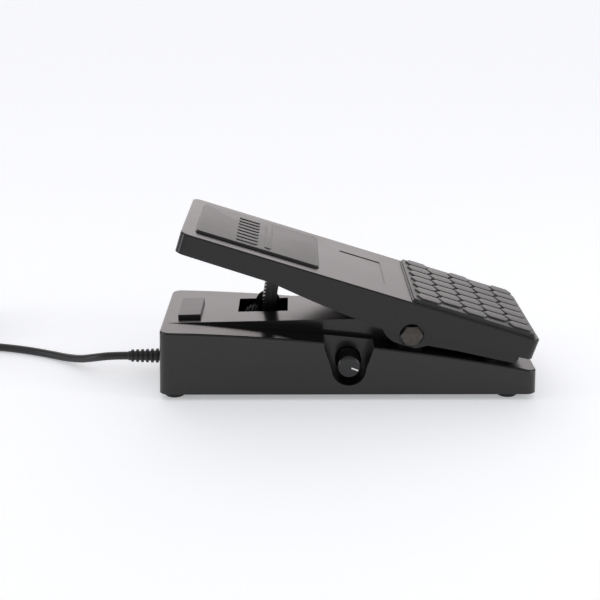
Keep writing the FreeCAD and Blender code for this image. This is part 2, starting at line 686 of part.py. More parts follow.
# Pivot rails inside the skirt, with room for the bolt heads and the bushes
RAIL = [
    ("-20", UNDER),
    ("-20", "-1", ("-15.5", RISE + " - rail_depth + 2.8")),
    ("-8.6", RISE + " - rail_depth"),
    ("5.5", RISE + " - rail_depth"),
    ("13", RISE + " - rail_depth + 4.4"),
    ("34", RISE + " - rail_depth + 6.8"),
    ("treadle_heel - 10", RISE + " - rail_depth + 9.8"),
    ("treadle_heel - 8", UNDER),
]
OUTER = "treadle_width / 2 - treadle_wall"
for offset in ("rail_face", "-(%s)" % OUTER):
    rail = outline(new_sketch(treadle, "XZ", offset), RAIL)
    pad(treadle, rail, OUTER + " - rail_face")
for offset in ("treadle_width / 2", "-seat_face"):
    seat = ring(new_sketch(treadle, "XZ", offset), "counterbore")
    pocket(treadle, seat, "treadle_width / 2 - seat_face")
bush_holes = ring(new_sketch(treadle, "XZ"), "bolt_diameter + 2 * bush_wall + 2 * running_gap")
pocket(treadle, bush_holes, "treadle_width * 2", midplane=True)

# Block for the rack arm, ribs that meet the toe stop and the heel bumpers
ARM_X = "-0.5 * (arm_inner + rack_teeth * gear_module / 2)"
arm_block = new_sketch(treadle, "XZ", "-slot_centre - arm_block_width / 2")
BLOCK_ENDS = (ARM_X + " - arm_flange_length / 2", ARM_X + " + arm_flange_length / 2")
outline(arm_block, [
    (BLOCK_ENDS[0], UNDER), (BLOCK_ENDS[0], UNDER + " - arm_block"),
    (BLOCK_ENDS[1], UNDER + " - arm_block"), (BLOCK_ENDS[1], UNDER),
])
pad(treadle, arm_block, "arm_block_width")
STOP_RIB = "stop_x - pivot_x"
for x, half, bottom in ((STOP_RIB, "1.3", RISE + " - skirt_toe + 0.3"),
                        ("bumper_reach", "1.5", RISE + " - bumper_rib")):
    rib = new_sketch(treadle, "XZ")
    outline(rib, [("%s - %s" % (x, half), UNDER), ("%s - %s" % (x, half), bottom),
                  ("%s + %s" % (x, half), bottom), ("%s + %s" % (x, half), UNDER)])
    pad(treadle, rib, "2 * rail_face - 4", midplane=True)

# Recesses that the pads are glued in, the sunk panel, and pilot holes for the arm's screws
PADS = (
    ("toe_pad", "toe_pad_from", "toe_pad_length", "toe_pad_width", "toe_pad_proud"),
    ("heel_pad", "heel_pad_from", "heel_pad_length", "heel_pad_width", "heel_pad_proud"),
)
for name, start, length, width, proud in PADS:
    middle = "-treadle_toe + %s + %s / 2" % (start, length)
    seat = new_sketch(treadle, "XY", RISE)
    rounded_plan(seat, length, width, "pad_corner", x=middle)
    pocket(treadle, seat, "pad_sink")
panel = new_sketch(treadle, "XY", RISE)
rounded_plan(panel, "panel_length", "panel_width", "1", x="panel_from + panel_length / 2 - treadle_toe")
pocket(treadle, panel, "panel_depth")
ARM_SCREW_X = [ARM_X + " - arm_screw_reach", ARM_X + " + arm_screw_reach"]
pilots = new_sketch(treadle, "XY", UNDER + " - arm_block + 5")
for x in ARM_SCREW_X:
    ring(pilots, "screw_diameter", x, "slot_centre")
pocket(treadle, pilots, "8")
node(on_treadle(treadle), "treadle_shell")

for name, start, length, width, proud in PADS:
    cover = new_body(name)
    middle = "-treadle_toe + %s + %s / 2" % (start, length)
    sketch = new_sketch(cover, "XY", RISE + " - pad_sink")
    rounded_plan(sketch, length, width, "pad_corner", x=middle)
    pad(cover, sketch, "%s + pad_sink" % proud)
    top = size["treadle_rise"] + size[proud]
    round_edges(cover, "pad_round", lambda edge, top=top: edge.BoundBox.ZMin > top - 0.01)
    node(on_treadle(cover), name)

# Bushes pressed in the rails
bush_length = "seat_face - rail_face"
bush = turned("bush", tube_profile("bolt_diameter + 2 * bush_wall + 2 * running_gap",
                                   "bolt_diameter + 2 * running_gap", bush_length))
group("pivot_bushes", bush,
      [Placement(PIVOT + Vector(0, sign * size["rail_face"], 0), TO_NEAR if sign < 0 else TO_FAR)
       for side, sign in SIDES])

# ---------------------------------------------------------------------------------------------
# Pivot bolts, inserts and washers, on the housing
# ---------------------------------------------------------------------------------------------
head_seat = "seat_face + head_play"
for side, sign in SIDES:
    bolt = new_body("pivot_bolt_" + side)
    head = new_sketch(bolt, "XY")
    corner = "bolt_across / sqrt(3)"
    outline(head, [("%s * cos(%d deg)" % (corner, turn), "%s * sin(%d deg)" % (corner, turn))
                   for turn in range(0, 360, 60)])
    pad(bolt, head, "bolt_head_height")
    shank = ring(new_sketch(bolt, "XY", "-bolt_length"), "bolt_diameter")
    pad(bolt, shank, "bolt_length + 1")
    flat_edge = "bolt_across / 2 - bolt_chamfer"
    past_corner = flat_edge + " + bolt_across / 4"
    revolve(bolt, [
        (flat_edge, "bolt_head_height"),
        (past_corner, "bolt_head_height - bolt_across / 4 * tan(30 deg)"),
        (past_corner, "bolt_head_height + 1"), (flat_edge, "bolt_head_height + 1"),
    ], "PartDesign::Groove")
    turn = 90 if sign < 0 else -90
    node(place(bolt, "pivot_x", "%d * (%s)" % (sign, head_seat), "pivot_z", X_AXIS, turn),
         "pivot_bolt_" + side)

insert = turned("insert", tube_profile("insert_diameter", "bolt_diameter", "tower_thick"))
group("tower_inserts", insert,
      [Placement(PIVOT + Vector(0, sign * (size["tower_face"] - size["tower_thick"]), 0),
                 TO_NEAR if sign < 0 else TO_FAR) for side, sign in SIDES])
washer = turned("washer", tube_profile("washer_diameter", "bolt_diameter", "washer_thick"))
group("pivot_washers", washer,
      [Placement(PIVOT + Vector(0, sign * size["tower_face"], 0), TO_NEAR if sign < 0 else TO_FAR)
       for side, sign in SIDES])

# Heel bumpers: square to the treadle, between the housing's slope and the treadle's rib
bumper_top = size["treadle_rise"] - size["bumper_rib"] - size["bumper_gap"]
slope_drop = size["hump_height"] - size["pivot_z"]
tilt = math.radians(size["tilt"])
slope_level = (slope_drop - (size["pivot_x"] - size["hump_flat_to"]) * math.tan(tilt)) * math.cos(tilt)
bumper = turned("bumper", [("0", "0"), ("bumper_diameter / 2", "0"),
                           ("bumper_diameter / 2", "%.4f" % (bumper_top - slope_level - 0.8)),
                           ("bumper_diameter / 2 - 0.8", "%.4f" % (bumper_top - slope_level)),
                           ("0", "%.4f" % (bumper_top - slope_level))])
group("heel_bumpers", bumper,
      [TREADLE_FRAME.multiply(Placement(Vector(size["bumper_reach"], sign * size["bumper_y"],
                                               slope_level), Rotation())) for side, sign in SIDES])


# ---------------------------------------------------------------------------------------------
# Rack arm and pinion
# ---------------------------------------------------------------------------------------------
PRESSURE = math.radians(20)
ADDENDUM = 0.8 * MODULE
DEDENDUM = 1.15 * MODULE


def involute(angle):
    return math.tan(angle) - angle


def tooth(teeth, steps=4):
    """Half a tooth from root to tip, as (radius, angle from the tooth's centre line)."""
    pitch = teeth * MODULE / 2
    base = pitch * math.cos(PRESSURE)
    half = (math.pi * MODULE / 4 - size["backlash"] / 2) / pitch
    flank = []
    for step in range(steps + 1):
        radius = pitch - DEDENDUM + (ADDENDUM + DEDENDUM) * step / steps
        reach = math.acos(min(1.0, base / radius))
        flank.append((radius, half + involute(PRESSURE) - involute(reach)))
    return flank


def polar(radius, angle):
    """A point in the XZ plane: the angle is measured from -X, upwards."""
    return Vector(-radius * math.cos(angle), 0, radius * math.sin(angle))


def toothed_edge(teeth, centres):
    """Points along teeth that are centred on the given angles, in rising order."""
    half = tooth(teeth)
    points = []
    for centre in centres:
        points += [polar(radius, centre - angle) for radius, angle in half]
        points += [polar(radius, centre + angle) for radius, angle in reversed(half)]
    return points


def slab(points, low, high):
    """A flat solid in XZ between two y values."""
    face = Part.Face(Part.makePolygon([p + Vector(0, low, 0) for p in points + points[:1]]))
    return face.extrude(Vector(0, high - low, 0))


def arc_band(inner_radius, outer_radius, start, end, low, high):
    """Part of a ring about the pivot, from one angle to another."""
    middle = (start + end) / 2
    edges = [
        Part.Arc(polar(inner_radius, start), polar(inner_radius, middle), polar(inner_radius, end)).toShape(),
        Part.LineSegment(polar(inner_radius, end), polar(outer_radius, end)).toShape(),
        Part.Arc(polar(outer_radius, end), polar(outer_radius, middle), polar(outer_radius, start)).toShape(),
        Part.LineSegment(polar(outer_radius, start), polar(inner_radius, start)).toShape(),
    ]
    face = Part.Face(Part.Wire(edges))
    face.translate(Vector(0, low, 0))
    return face.extrude(Vector(0, high - low, 0))


tooth_angle = math.tau / size["rack_teeth"]
root_radius = rack_pitch - DEDENDUM

# In the treadle's frame, angles are smaller by the tilt than in the shared frame at rest.
mesh_local = mesh_angle - tilt
arm_low = -math.radians(size["arm_below"]) - tilt
last_mesh = mesh_local + math.radians(size["travel"])
below = int((mesh_local - arm_low) / tooth_angle - 0.5)
above = int((last_mesh - mesh_local) / tooth_angle) + 3
tooth_centres = [mesh_local + (step + 0.5) * tooth_angle for step in range(-below - 1, above)]
arm_top = math.asin((size["treadle_rise"] - size["treadle_top"] - size["arm_block"] - 1.0) / root_radius)
near_face = size["slot_centre"] - size["arm_thick"] / 2
far_face = size["slot_centre"] + size["arm_thick"] / 2

teeth_start = tooth_centres[0] - tooth_angle / 2
teeth_end = tooth_centres[-1] + tooth_angle / 2
rim = [polar(root_radius - 1.5, teeth_start), polar(root_radius, teeth_start)]
rim += toothed_edge(size["rack_teeth"], tooth_centres)
rim += [polar(root_radius, teeth_end), polar(root_radius - 1.5, teeth_end)]
inner_line = [polar(root_radius - 1.5, teeth_end - (teeth_end - teeth_start) * i / 24)
              for i in range(1, 24)]
arm = arc_band(size["arm_inner"], root_radius - 0.6, teeth_start, arm_top, near_face, far_face)
arm = arm.fuse(slab(rim + inner_line, near_face, far_face))
rib_radius = (size["arm_inner"] + root_radius) / 2
arm = arm.fuse(arc_band(rib_radius - 0.9, rib_radius + 0.9, teeth_start + tooth_angle, arm_top,
                        near_face - 1.0, near_face + 0.5))
flange_top = size["treadle_rise"] - size["treadle_top"] - size["arm_block"]
flange = Part.makeBox(size["arm_flange_length"], size["arm_flange_width"], size["arm_flange"])
flange.translate(Vector(number(ARM_X) - size["arm_flange_length"] / 2,
                        size["slot_centre"] - size["arm_flange_width"] / 2, flange_top - size["arm_flange"]))
for x in ARM_SCREW_X:
    hole = Part.makeCylinder(size["screw_diameter"] / 2, 10,
                             Vector(number(x), size["slot_centre"], flange_top - 5))
    flange = flange.cut(hole)
arm = arm.fuse(flange).removeSplitter()
solid_node("rack_arm", arm, TREADLE_FRAME)

arm_screw = screw("arm_screw", "arm_flange + 4")
group("arm_screws", arm_screw,
      [TREADLE_FRAME.multiply(Placement(Vector(number(x), size["slot_centre"],
                                               flange_top - size["arm_flange"]), Rotation()))
       for x in ARM_SCREW_X])

pinion_centre = PIVOT + polar(centres, mesh_angle)
pinion_y = size["slot_centre"]
pinion_low = pinion_y - size["pinion_width"] / 2
pinion_high = pinion_y + size["pinion_width"] / 2
step_angle = math.tau / size["pinion_teeth"]
# a tooth points at the pivot, where the rack has a gap
pinion_angles = [math.pi + mesh_angle + step_angle * i for i in range(int(size["pinion_teeth"]))]
pinion = slab(toothed_edge(size["pinion_teeth"], pinion_angles), pinion_low, pinion_high)
hub = Part.makeCylinder(pinion_pitch - DEDENDUM, 2.0, Vector(0, pinion_low - 2.0, 0), Y_AXIS)
bore = Part.makeCylinder(size["shaft_diameter"] / 2, 40, Vector(0, pinion_low - 10, 0), Y_AXIS)
solid_node("drive_pinion", pinion.fuse(hub).cut(bore), Placement(pinion_centre, Rotation()))

# ---------------------------------------------------------------------------------------------
# Gear bracket and sweep potentiometer
# ---------------------------------------------------------------------------------------------
bracket = new_body("gear_bracket")
FLOOR = PLATE_TOP
TOE_EDGE = PIN_X + " - 20"
CHEEK_TOP = "hump_height - wall - roof_gap"
far_cheek = new_sketch(bracket, "XZ", "-bracket_far - bracket_sheet")
outline(far_cheek, [
    (TOE_EDGE, FLOOR), ("guide_x + 7", FLOOR),
    ("guide_x + guide_radius", "guide_z", ("guide_x", "guide_z + guide_radius")),
    ("guide_x - guide_radius", "guide_z"),
    ("guide_x - guide_radius", PIN_Z + " + 5"), (PIN_X + " - 6", PIN_Z + " + 3"),
    (PIN_X + " - 9", PIN_Z + " - 9"), (TOE_EDGE, FLOOR + " + 8"),
])
pad(bracket, far_cheek, "bracket_sheet")
near_cheek = new_sketch(bracket, "XZ", "-bracket_near")
outline(near_cheek, [
    (TOE_EDGE, FLOOR), (PIN_X + " + 8", FLOOR), (PIN_X + " + 6", PIN_Z + " - 6"),
    (PIN_X + " + 6", CHEEK_TOP), (PIN_X + " - 6", CHEEK_TOP),
    (PIN_X + " - 9", PIN_Z + " - 9"), (TOE_EDGE, FLOOR + " + 8"),
])
pad(bracket, near_cheek, "bracket_sheet")
web = new_sketch(bracket, "XY", FLOOR)
WEB_Y = ("bracket_near - bracket_sheet", "bracket_far + bracket_sheet")
outline(web, [(TOE_EDGE, WEB_Y[0]), (PIN_X + " + 2", WEB_Y[0]),
              (PIN_X + " + 2", WEB_Y[1]), (TOE_EDGE, WEB_Y[1])])
pad(bracket, web, "bracket_sheet")
neck_hole = ring(new_sketch(bracket, "XZ", "-bracket_near + bracket_sheet + 1"), THREAD, PIN_X, PIN_Z)
pocket(bracket, neck_hole, "bracket_sheet + 2")
end_hole = ring(new_sketch(bracket, "XZ", "-bracket_far + 1"),
                "shaft_diameter + 2 * running_gap", PIN_X, PIN_Z)
pocket(bracket, end_hole, "bracket_sheet + 2")
tapped = new_sketch(bracket, "XY", FLOOR + " + bracket_sheet + 1")
for x, y in BRACKET_SCREWS:
    ring(tapped, "screw_diameter", x, y)
pocket(bracket, tapped, "bracket_sheet + 3")
node(bracket, "gear_bracket")

short_screw = screw("short_screw", "plate_thick + bracket_sheet + 1.5")
group("bracket_screws", short_screw,
      [Placement(Vector(x, y, size["base_lift"]), Rotation()) for x, y in BRACKET_SCREWS])


def potentiometer(name, can, depth, neck, spot, turn):
    """A can with a threaded neck, and three lugs: its Z points from the can to the neck."""
    body = turned(name + "_can", [
        ("shaft_diameter / 2 + running_gap", "-(%s) + 1" % depth), ("0", "-(%s) + 1" % depth),
        ("0", "-(%s)" % depth), ("(%s) / 2" % can, "-(%s)" % depth), ("(%s) / 2" % can, "0"),
        (THREAD + " / 2", "0"), (THREAD + " / 2", neck),
        ("shaft_diameter / 2 + running_gap", neck),
    ])
    body.Placement = Placement(spot, turn)
    node(body, name + "_can")
    half = size[can] / 2
    lugs = []
    low = -half - size["lug_length"]
    for shift in (-size["lug_pitch"], 0.0, size["lug_pitch"]):
        corner = Vector(shift - size["lug_width"] / 2, low, -size["lug_depth"] - size["lug_thick"] / 2)
        tag = Part.makeBox(size["lug_width"], -low - math.sqrt(half * half - shift * shift),
                           size["lug_thick"], corner)
        eye = Part.makeCylinder(size["lug_eye"] / 2, 2 * size["lug_depth"],
                                Vector(shift, low + 1.5 * size["lug_eye"], -2 * size["lug_depth"]))
        lugs.append(tag.cut(eye).cut(Part.makeCylinder(half, 20, Vector(0, 0, -10))))
    solid_node(name + "_lugs", Part.makeCompound(lugs), Placement(spot, turn))


def nut(label, start, spot, turn):
    """A hexagon nut on a potentiometer's neck."""
    bore = number(THREAD) / 2
    corner = bore * 1.64
    flats = [Vector(corner * math.cos(math.radians(a)), corner * math.sin(math.radians(a)), start)
             for a in range(0, 361, 60)]
    solid = Part.Face(Part.makePolygon(flats)).extrude(Vector(0, 0, size["nut_thick"]))
    thread = Part.makeCylinder(bore, 20, Vector(0, 0, start - 5))
    solid_node(label, solid.cut(thread), Placement(spot, turn))


def shaft(label, low, high, x, z):
    """A plain potentiometer shaft along Y."""
    node(cylinder(label, "shaft_diameter", "(%s) - (%s)" % (high, low), x, low, z, X_AXIS, -90), label)


sweep_spot = Vector(pinion_centre.x, size["bracket_near"] - size["bracket_sheet"], pinion_centre.z)
LUGS_DOWN = TO_FAR.multiply(Rotation(Vector(0, 0, 1), 180))
potentiometer("sweep_pot", "sweep_can", "sweep_can_depth", "bracket_sheet + pot_neck", sweep_spot, LUGS_DOWN)
nut("sweep_pot_nut", size["bracket_sheet"], sweep_spot, LUGS_DOWN)
shaft("sweep_pot_shaft", "bracket_near - bracket_sheet - sweep_can_depth + 1.4",
      "bracket_far + bracket_sheet + 0.8", PIN_X, PIN_Z)

# ---------------------------------------------------------------------------------------------
# Range potentiometer and its knob
# ---------------------------------------------------------------------------------------------
range_spot = Vector(size["knob_x"], -size["recess_floor"] + size["wall"], size["knob_z"])
potentiometer("range_pot", "range_can", "range_can_depth", "wall + pot_neck", range_spot, TO_NEAR)
flat_washer = turned("range_pot_washer",
                     tube_profile(THREAD + " + 4.6", THREAD, "flat_washer"))
node(place(flat_washer, "knob_x", "-recess_floor", "knob_z", X_AXIS, 90), "range_pot_washer")
nut("range_pot_nut", size["wall"] + size["flat_washer"], range_spot, TO_NEAR)
shaft("range_pot_shaft", "-knob_front + 3.4", "-recess_floor + wall + range_can_depth - 1.4", "knob_x",
      "knob_z")

knob_length = "knob_front - knob_root"
knob = turned("range_knob", [
    ("shaft_diameter / 2", "5.4"), ("knob_base / 2 - 1.5", "4.6"), ("knob_base / 2 - 1.5", "0"),
    ("knob_base / 2", "0"), ("knob_base / 2", "2.2"),
    ("knob_face / 2 + 0.3", knob_length + " - 1.0"), ("knob_face / 2 - 0.7", knob_length),
    ("0", knob_length), ("0", knob_length + " - 3.4"), ("shaft_diameter / 2", knob_length + " - 3.4"),
])
groove = new_sketch(knob, "XY", knob_length)
LINE = ("1.8", "knob_face / 2 + 1")
outline(groove, [("-0.5", LINE[0]), ("0.5", LINE[0]), ("0.5", LINE[1]), ("-0.5", LINE[1])])
pocket(knob, groove, "0.5")
KNOB_TURN = TO_NEAR.multiply(Rotation(Vector(0, 0, 1), -size["pointer_turn"]))
knob.Placement = Placement(Vector(size["knob_x"], -size["knob_root"], size["knob_z"]), KNOB_TURN)
node(knob, "range_knob")

pointer = new_body("knob_pointer")
line = new_sketch(pointer, "XY", knob_length + " - 0.5")
outline(line, [("-0.5", LINE[0]), ("0.5", LINE[0]), ("0.5", "knob_face / 2 - 0.8"),
               ("-0.5", "knob_face / 2 - 0.8")])
pad(pointer, line, "0.6")
pointer.Placement = knob.Placement
node(pointer, "knob_pointer")

# ---------------------------------------------------------------------------------------------
# Cable: strain relief, clamp, wires, free cable, coil and plug
# ---------------------------------------------------------------------------------------------
BORE = "cord_diameter / 2"
FLANGE = "relief_flange / 2"
INNER_FLANGE = "-wall - 0.8"    # the housing's end leans in, so the groove is a little deeper than its wall
BODY = FLANGE + " - 1.4"        # the relief between its ribs
relief = turned("strain_relief", [
    (BORE, INNER_FLANGE + " - 1.1"), (FLANGE + " - 0.8", INNER_FLANGE + " - 1.1"),
    (FLANGE, INNER_FLANGE), ("relief_neck / 2", INNER_FLANGE), ("relief_neck / 2", "0"),
    (FLANGE, "0"), (FLANGE, "4.6"), (BODY, "5.6"),
    (BODY, "relief_length - 6"), (BORE + " + 1.1", "relief_length"), (BORE, "relief_length"),
])
RIBS = 4
for index in range(RIBS):
    start = "rib_from + %d * rib_pitch" % index
    revolve(relief, tube_profile("relief_flange - 1", "cord_diameter + 1.6", "rib_width", start))
node(place(relief, "-base_length / 2", 0, "cord_z", Y_AXIS, -90), "strain_relief")

node(cylinder("cable_inner", "cord_diameter", "base_length / 2 + relief_length + cable_end",
              "-base_length / 2 - relief_length", 0, "cord_z", Y_AXIS, 90), "cable_inner")

plate_top = size["base_lift"] + size["plate_thick"]
saddle = Part.makeBox(size["clamp_length"], size["clamp_width"],
                      size["cord_z"] + size["cord_diameter"] / 2 + size["clamp_over"] - plate_top)
saddle.translate(Vector(size["clamp_x"] - size["clamp_length"] / 2, -size["clamp_width"] / 2, plate_top))
channel = Part.makeCylinder(size["cord_diameter"] / 2, 3 * size["clamp_length"],
                            Vector(size["clamp_x"] - 1.5 * size["clamp_length"], 0, size["cord_z"]), X_AXIS)
for x, y in CLAMP_SCREWS:
    channel = channel.fuse(Part.makeCylinder(size["screw_diameter"] / 2, 6, Vector(x, y, size["base_lift"])))
solid_node("cable_clamp", saddle.cut(channel))
clamp_screw = screw("clamp_screw", "plate_thick + 4")
group("clamp_screws", clamp_screw,
      [Placement(Vector(x, y, size["base_lift"]), Rotation()) for x, y in CLAMP_SCREWS])


def tube(points, diameter, end_at=None):
    """Straight runs joined by tangent arcs: radius 0.45 of the shorter run over tan(half the turn)."""
    points = [Vector(*p) for p in points]
    edges = []
    radii = []
    here = points[0]
    for before, corner, after in zip(points, points[1:], points[2:]):
        into = (corner - before).normalize()
        out = (after - corner).normalize()
        reach = 0.45 * min((corner - before).Length, (after - corner).Length)
        half = into.getAngle(out) / 2
        radius = reach / math.tan(half)
        radii.append(radius)
        first = corner - into * reach
        last = corner + out * reach
        inward = (out - into).normalize()
        middle = corner + inward * (radius / math.cos(half) - radius)
        edges.append(Part.LineSegment(here, first).toShape())
        edges.append(Part.Arc(first, middle, last).toShape())
        here = last
    edges.append(Part.LineSegment(here, points[-1]).toShape())
    path = Part.Wire(edges)
    start = (points[1] - points[0]).normalize()
    profile = Part.Wire(Part.makeCircle(diameter / 2, points[0], start))
    solid = path.makePipeShell([profile], True, True)
    expected = math.pi * diameter ** 2 / 4 * path.Length
    print("tube length %.1f mm, smallest radius %.1f mm, volume / expected %.4f"
          % (path.Length, min(radii), solid.Volume / expected))
    return solid


# The free cable leaves the strain relief, comes down to the floor and runs to the coil.
LEAD = [
    (-153.75, 0.0, 13.5), (-165.0, 0.0, 13.5), (-177.2, 3.4, 10.9), (-189.6, 12.0, 6.2), (-203.0, 22.6, 3.4),
    (-218.0, 31.6, 2.9), (-236.0, 39.6, 2.9), (-256.0, 45.9, 2.9), (-277.0, 49.7, 2.9), (-303.0, 50.6, 2.9),
]
solid_node("cable_lead", tube(LEAD, size["cord_diameter"]))

HOLE = "coil_inner / 2"
RIM = "coil_outer / 2"
coil = turned("cable_coil", [
    (HOLE, "coil_round"), (HOLE + " + coil_round", "0"), (RIM + " - coil_round", "0"),
    (RIM, "coil_round"), (RIM, "coil_height - coil_round"), (RIM + " - coil_round", "coil_height"),
    (HOLE + " + coil_round", "coil_height"), (HOLE, "coil_height - coil_round"),
])
node(place(coil, "coil_x", "coil_y", 0), "cable_coil")

# The free end leaves the top of the coil, crosses the lead and runs into the plug's boot.
TAIL = [
    (-287.4, 85.5, 20.1), (-287.5, 71.0, 20.0), (-288.6, 57.5, 14.6), (-290.4, 45.0, 9.2),
    (-291.2, 34.0, 7.0), (-291.2, 25.0, 7.0),
]
solid_node("cable_tail", tube(TAIL, size["cord_diameter"]))

PLUG_TURN = 90
boot = turned("plug_boot", [
    ("0", "0"), ("cord_diameter / 2 + 0.9", "0"), ("boot_diameter / 2 - 1.4", "boot_length * 0.4"),
    ("boot_diameter / 2", "boot_length * 0.42"), ("boot_diameter / 2", "boot_length - 1"),
    ("boot_diameter / 2 - 1", "boot_length"), ("0", "boot_length"),
])
node(place(boot, "plug_x", "plug_y", "plug_z", X_AXIS, PLUG_TURN), "plug_boot")
PLUG_PARTS = (
    ("plug_sleeve", "sleeve_length"),
    ("plug_band_rear", "band_length"),
    ("plug_ring", "ring_length"),
    ("plug_band_front", "band_length"),
)
contact = "plug_y - boot_length"
for label, length in PLUG_PARTS:
    node(cylinder(label, "plug_diameter", length, "plug_x", contact, "plug_z", X_AXIS, PLUG_TURN), label)
    contact += " - " + length
tip = turned("plug_tip", [
    ("0", "0"), ("plug_diameter / 2 - 0.9", "0"), ("plug_diameter / 2", "2.6"),
    ("plug_diameter / 2 - 0.2", "3.4"), ("plug_diameter / 2 - 1.9", "tip_length - 0.2"), ("0", "tip_length"),
])
node(place(tip, "plug_x", contact, "plug_z", X_AXIS, PLUG_TURN), "plug_tip")


def wires(label, routes):
    """Thin insulated wires in one node."""
    solid_node(label, Part.makeCompound([tube(route, size["wire_diameter"]) for route in routes]))


sweep_lug_z = pinion_centre.z - size["sweep_can"] / 2 - size["lug_length"]
sweep_lug_y = sweep_spot.y - size["lug_depth"]
range_lug_z = size["knob_z"] - size["range_can"] / 2 - size["lug_length"]
range_lug_y = range_spot.y + size["lug_depth"]
wires("signal_wires", [
    [(size["cable_end"], 1.4 * k, size["cord_z"]), (-93, 1.6 * k - 2, size["cord_z"] - 1),
     (-84, 2.5 * k - 15, 12), (-73, 2.5 * k - 18, 13),
     (pinion_centre.x + size["lug_pitch"] * k, sweep_lug_y - 2.2, 20),
     (pinion_centre.x + size["lug_pitch"] * k, sweep_lug_y, sweep_lug_z - 0.1)]
    for k in (-1, 0, 1)
])
wires("range_wires", [
    [(pinion_centre.x + 2.4 * k + 8, -14, 8.6), (-46, -17 + 2 * k, 7.6), (-32, -22 + 2 * k, 7.0),
     (-16, -24 + 1.5 * k, 6.8), (size["knob_x"] - 3 + size["lug_pitch"] * k, range_lug_y - 0.6, 7.2),
     (size["knob_x"] + size["lug_pitch"] * k, range_lug_y, range_lug_z - 0.1)]
    for k in (-1, 0, 1)
])

# ---------------------------------------------------------------------------------------------
# Check every object, then write the sub-parts
# ---------------------------------------------------------------------------------------------
doc.recompute()
faults = []
for thing in doc.Objects:
    if "Invalid" in thing.State or "Error" in thing.State:
        faults.append("%s: %s" % (thing.Name, thing.State))
for thing in nodes:
    if thing.Shape.isNull() or not thing.Shape.isValid():
        faults.append("%s: shape is null or not valid" % thing.Label)
if faults:
    raise RuntimeError("; ".join(faults))

os.makedirs("parts", exist_ok=True)
for thing in nodes:
    thing.Shape.exportStep("parts/%s.step" % thing.Label)
print("%d sub-parts written" % len(nodes))
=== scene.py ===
"""Visual model of a volume and expression foot pedal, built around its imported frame."""

import json
import logging
import math
from collections.abc import Callable, Sequence
from dataclasses import dataclass, field
from enum import Enum

import bmesh
import bpy
from mathutils import Matrix, Vector


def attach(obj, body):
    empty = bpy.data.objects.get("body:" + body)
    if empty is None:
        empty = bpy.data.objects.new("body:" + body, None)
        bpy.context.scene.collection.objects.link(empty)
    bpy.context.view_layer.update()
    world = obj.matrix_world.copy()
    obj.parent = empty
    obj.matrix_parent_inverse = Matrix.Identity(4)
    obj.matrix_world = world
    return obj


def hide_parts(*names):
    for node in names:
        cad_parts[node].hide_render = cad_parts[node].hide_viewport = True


MM = 0.001
LOG = logging.getLogger("foot_pedal")

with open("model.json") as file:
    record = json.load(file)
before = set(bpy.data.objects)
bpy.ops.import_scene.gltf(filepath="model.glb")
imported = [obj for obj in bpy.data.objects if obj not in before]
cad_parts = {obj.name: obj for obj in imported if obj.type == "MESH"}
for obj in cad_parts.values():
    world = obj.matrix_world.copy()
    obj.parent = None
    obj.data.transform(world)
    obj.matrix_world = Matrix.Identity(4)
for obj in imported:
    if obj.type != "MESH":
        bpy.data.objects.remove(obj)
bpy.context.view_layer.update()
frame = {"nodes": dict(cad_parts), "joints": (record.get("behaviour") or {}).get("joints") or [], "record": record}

PIVOT = Vector(next(j["pos_m"] for j in frame["joints"] if j["name"] == "treadle_pivot"))
KNOB_AXIS = Vector(next(j["pos_m"] for j in frame["joints"] if j["name"] == "range_turn"))
TREADLE_TILT = math.radians(17.5)
ON_TREADLE = Matrix.Translation(PIVOT) @ Matrix.Rotation(TREADLE_TILT, 4, "Y")


# ---------------------------------------------------------------------------------------------
# Colour and node helpers
# ---------------------------------------------------------------------------------------------
def linear(hex_colour: str) -> tuple[float, float, float, float]:
    """Turn an sRGB hex colour into linear values.

    Args:
        hex_colour: A colour such as "#1a1918".

    Returns:
        Red, green, blue and an alpha of 1, linear.
    """
    levels = [int(hex_colour[i:i + 2], 16) / 255 for i in (1, 3, 5)]
    values = [v / 12.92 if v <= 0.04045 else ((v + 0.055) / 1.055) ** 2.4 for v in levels]
    return (values[0], values[1], values[2], 1.0)


def add_node(
    tree: bpy.types.NodeTree,
    kind: str,
    settings: dict[str, object] | None = None,
    inputs: dict[str | int, object] | None = None,
) -> bpy.types.Node:
    """Add a node with its settings, and set or link its inputs.

    Args:
        tree: The node tree that gets the node.
        kind: The node's type name.
        settings: Properties of the node by name.
        inputs: Input socket names or numbers, each with a value or an output socket to link.

    Returns:
        The new node.
    """
    node = tree.nodes.new(kind)
    for name, value in (settings or {}).items():
        setattr(node, name, value)
    for key, value in (inputs or {}).items():
        if isinstance(value, bpy.types.NodeSocket):
            tree.links.new(value, node.inputs[key])
        else:
            node.inputs[key].default_value = value
    return node


# ---------------------------------------------------------------------------------------------
# Finishes
# ---------------------------------------------------------------------------------------------
class Grain(Enum):
    """How a surface was made, which sets the pattern of its relief."""

    MOULDED = "spark-eroded mould texture"
    DRAWN = "fine lines along the length"
    SMOOTH = "polished or as plated"


